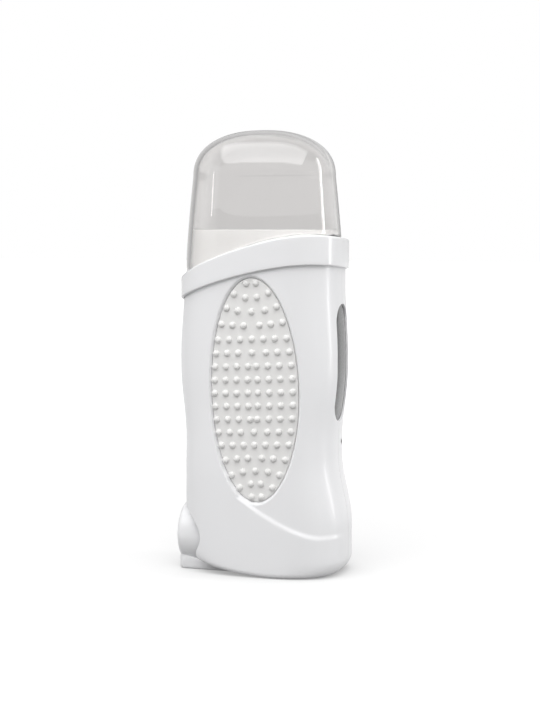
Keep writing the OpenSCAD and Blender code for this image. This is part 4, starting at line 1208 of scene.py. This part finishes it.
class HEATER_OT_inside(HeaterPart):
    """Ease the edges of the pieces inside, and give each its own finish"""
    bl_idname = "heater.inside"
    bl_label = "Inside"

    def build(self):
        neck = neck_white()
        steel = material("spring_steel", metal, (0.62, 0.63, 0.65), 0.28)
        brown = material("brown_sleeve", moulded, (0.16, 0.07, 0.035), 0.45, grain=0.1)
        aluminium = material("mill_aluminium", metal, (0.78, 0.79, 0.8), 0.36)
        ceramic = material("dark_ceramic", moulded, (0.07, 0.06, 0.055), 0.7, grain=0.3)
        film = material("amber_film", moulded, (0.45, 0.2, 0.03), 0.25, drift=0.1)
        case = material("plated_case", metal, (0.72, 0.68, 0.58), 0.25)
        lacquer = material("lacquered_ceramic", moulded, (0.42, 0.3, 0.17), 0.35)
        brass = material("bright_brass", metal, (0.8, 0.62, 0.3), 0.2)
        zinc = material("zinc_plate", metal, (0.6, 0.61, 0.62), 0.32)
        eased = {
            "cartridge_chamber": (0.0003, "chamber_plastic", neck),
            "cartridge_spring": (0.0001, "spring_steel", steel),
            "heat_plate": (0.0002, "plate_aluminium", aluminium),
            "heating_element": (0.0002, "element_ceramic", ceramic),
            "insulation_sheet": (0.00005, "insulation_film", film),
            "element_clip": (0.0001, "spring_steel", steel),
            "thermal_fuse": (0.00015, "fuse_case", case),
            "lamp_holder": (0.0002, "chamber_plastic", neck),
            "lamp_resistor": (0.0002, "resistor_ceramic", lacquer),
            "inlet_pins": (0.0001, "pin_brass", brass),
            "shell_screws": (0.0001, "screw_steel", zinc),
        }
        for node, (bevel, slot, look) in eased.items():
            eased_copy(node, bevel, look)
        plain = {
            "fuse_strap": steel,
            "indicator_lamp": material("lamp_glass", clear_plastic, (1.0, 0.62, 0.36), 0.05),
            "live_lead": brown,
            "fuse_lead": brown,
            "neutral_lead": material("blue_sleeve", moulded, (0.03, 0.08, 0.3), 0.45, grain=0.1),
            "lamp_leads": material("pale_sleeve", moulded, (0.7, 0.69, 0.66), 0.45, grain=0.1),
        }
        for node, look in plain.items():
            paint(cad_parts[node], look)


class HEATER_OT_stage(HeaterPart):
    """Set the floor, the soft lights and the camera"""
    bl_idname = "heater.stage"
    bl_label = "Stage"

    @staticmethod
    def seen_directly(tree):
        """Whether a ray sees the background as the camera does, also in a polished piece or
        through a clear one, and whether it comes straight from the camera."""
        path = add(tree, "LightPath").outputs
        seen = path["Is Camera Ray"]
        for kind in ("Is Glossy Ray", "Is Transmission Ray"):
            seen = maths(tree, "MAXIMUM", seen, path[kind])
        undiffused = maths(tree, "LESS_THAN", path["Diffuse Depth"], 0.5)
        return maths(tree, "MULTIPLY", seen, undiffused), path["Is Camera Ray"]

    @staticmethod
    def ramp(tree, source, start, end, low, high):
        """A smooth step from low to high while the source goes from start to end."""
        inputs = {"Value": source, "From Min": start, "From Max": end, "To Min": low,
                  "To Max": high}
        return add(tree, "MapRange", inputs, interpolation_type="SMOOTHSTEP").outputs["Result"]

    def floor(self):
        """A pale floor that keeps the shadow, with a painted contact shadow that dims its glow near
        the heater, and runs out to white.
        """
        shape = bmesh.new()
        bmesh.ops.create_grid(shape, x_segments=2, y_segments=2, size=6.0)
        mesh = bpy.data.meshes.new("floor")
        shape.to_mesh(mesh)
        shape.free()
        floor = bpy.data.objects.new("floor", mesh)
        bpy.context.scene.collection.objects.link(floor)
        look, principled, tree = shader("pale_floor")
        where = add(tree, "TexCoord").outputs["Object"]
        away = add(tree, "VectorMath", {0: where}, operation="LENGTH").outputs["Value"]
        # painted contact shadow: the floor's glow drops to half where ambient occlusion finds the
        # heater close by
        shadow_paint_mask = add(tree, "AmbientOcclusion", {"Distance": 0.07}).outputs["AO"]
        glow = self.ramp(tree, away, 0.12, 0.45, 0.66, 1.0)
        painted_contact_shadow = self.ramp(tree, shadow_paint_mask, 0.0, 1.0, 0.50, 1.0)
        seen, _ = self.seen_directly(tree)
        level = maths(tree, "MULTIPLY", seen, maths(tree, "MULTIPLY", glow, painted_contact_shadow))
        feed(tree, principled, {
            "Base Color": (0.30, 0.30, 0.30, 1), "Roughness": 0.9, "Specular IOR Level": 0.1,
            "Emission Color": (1, 1, 1, 1), "Emission Strength": level})
        paint(floor, look)

    def world(self):
        """A room that is light above and behind, and plain white where the camera sees it."""
        world = bpy.data.worlds.new("studio")
        bpy.context.scene.world = world
        world.use_nodes = True
        tree = world.node_tree
        axes = add(tree, "SeparateXYZ", {0: add(tree, "TexCoord").outputs["Generated"]}).outputs
        behind = self.ramp(tree, axes["Y"], -0.8, 0.6, 0.50, 0.40)
        above = self.ramp(tree, axes["Z"], -0.1, 0.9, 1.0, 1.5)
        # a clear piece holds back the lamps from what it covers, and the room makes up for it
        passed = add(tree, "LightPath").outputs["Transmission Depth"]
        covered = self.ramp(tree, passed, 0.0, 1.0, 1.0, 2.8)
        in_glass = self.ramp(tree, axes["Y"], 0.3, 1.0, 0.42, 0.70)
        seen, camera = self.seen_directly(tree)
        level = maths(tree, "MULTIPLY", maths(tree, "MULTIPLY", behind, above), covered)
        for mask, value in ((seen, in_glass), (camera, 1.0)):
            level = add(tree, "Mix", {"Factor": mask, "A": level, "B": value}).outputs["Result"]
        feed(tree, tree.nodes["Background"], {"Color": (1, 1, 1, 1), "Strength": level})

    def softbox(self, name, where, size, power):
        """A rectangular lamp that looks at the middle of the heater."""
        lamp = bpy.data.lights.new(name, "AREA")
        lamp.shape = "RECTANGLE"
        lamp.size, lamp.size_y = size
        lamp.energy = power
        holder = bpy.data.objects.new(name, lamp)
        bpy.context.scene.collection.objects.link(holder)
        holder.location = where
        aim = Vector((0, 0, 0.10)) - Vector(where)
        holder.rotation_euler = aim.to_track_quat("-Z", "Y").to_euler()

    def camera(self):
        """The photograph's viewpoint."""
        stage = sizes("stage")
        lens = bpy.data.cameras.new("view")
        long_side_px, sensor = 720, 36.0
        lens.sensor_width = sensor
        lens.lens = stage.focal / long_side_px * sensor
        lens.clip_start, lens.clip_end = 0.01, 50.0
        eye = bpy.data.objects.new("view", lens)
        bpy.context.scene.collection.objects.link(eye)
        s, c = math.sin(stage.azimuth), math.cos(stage.azimuth)
        eye.location = (stage.distance * s + stage.aside * c,
                        -stage.distance * c + stage.aside * s, stage.eye_z)
        eye.rotation_euler = (math.pi / 2 - stage.pitch, 0, stage.azimuth)
        bpy.context.scene.camera = eye

    def build(self):
        self.floor()
        self.world()
        self.softbox("overhead", (0.0, -0.45, 0.80), (1.1, 0.9), 7.8)
        self.softbox("right", (0.97, 0.22, 0.38), (0.08, 0.9), 4.0)
        self.softbox("left", (-0.9, -0.7, 0.45), (0.6, 0.9), 0.7)
        self.camera()
        bpy.context.scene.view_settings.view_transform = "Standard"


class HEATER_PT_parts(bpy.types.Panel):
    """Lists the heater's operators."""
    bl_label = "Roll-on wax heater"
    bl_idname = "HEATER_PT_parts"
    bl_space_type = "VIEW_3D"
    bl_region_type = "UI"
    bl_category = "Heater"

    def draw(self, context):
        for operator in OPERATORS:
            self.layout.operator(operator.bl_idname)


GROUPS = {"body": HeaterBody, "sweep": HeaterSweep, "pad": HeaterPad, "collar": HeaterCollar,
          "cap": HeaterCap, "window": HeaterWindow, "inlet": HeaterInlet, "finish": HeaterFinish,
          "stage": HeaterStage}
OPERATORS = (HEATER_OT_stage, HEATER_OT_shells, HEATER_OT_grip_pad, HEATER_OT_collar,
             HEATER_OT_neck, HEATER_OT_cap, HEATER_OT_window, HEATER_OT_inlet, HEATER_OT_inside)


def register():
    for cls in (*GROUPS.values(), *OPERATORS, HEATER_PT_parts):
        bpy.utils.register_class(cls)
    for name, cls in GROUPS.items():
        setattr(bpy.types.Scene, "heater_" + name, PointerProperty(type=cls))


def unregister():
    for name in GROUPS:
        delattr(bpy.types.Scene, "heater_" + name)
    for cls in (HEATER_PT_parts, *OPERATORS, *GROUPS.values()):
        bpy.utils.unregister_class(cls)


def main():
    register()
    for operator in OPERATORS:
        family, name = operator.bl_idname.split(".")
        getattr(getattr(bpy.ops, family), name)()


if __name__ == "__main__":
    main()
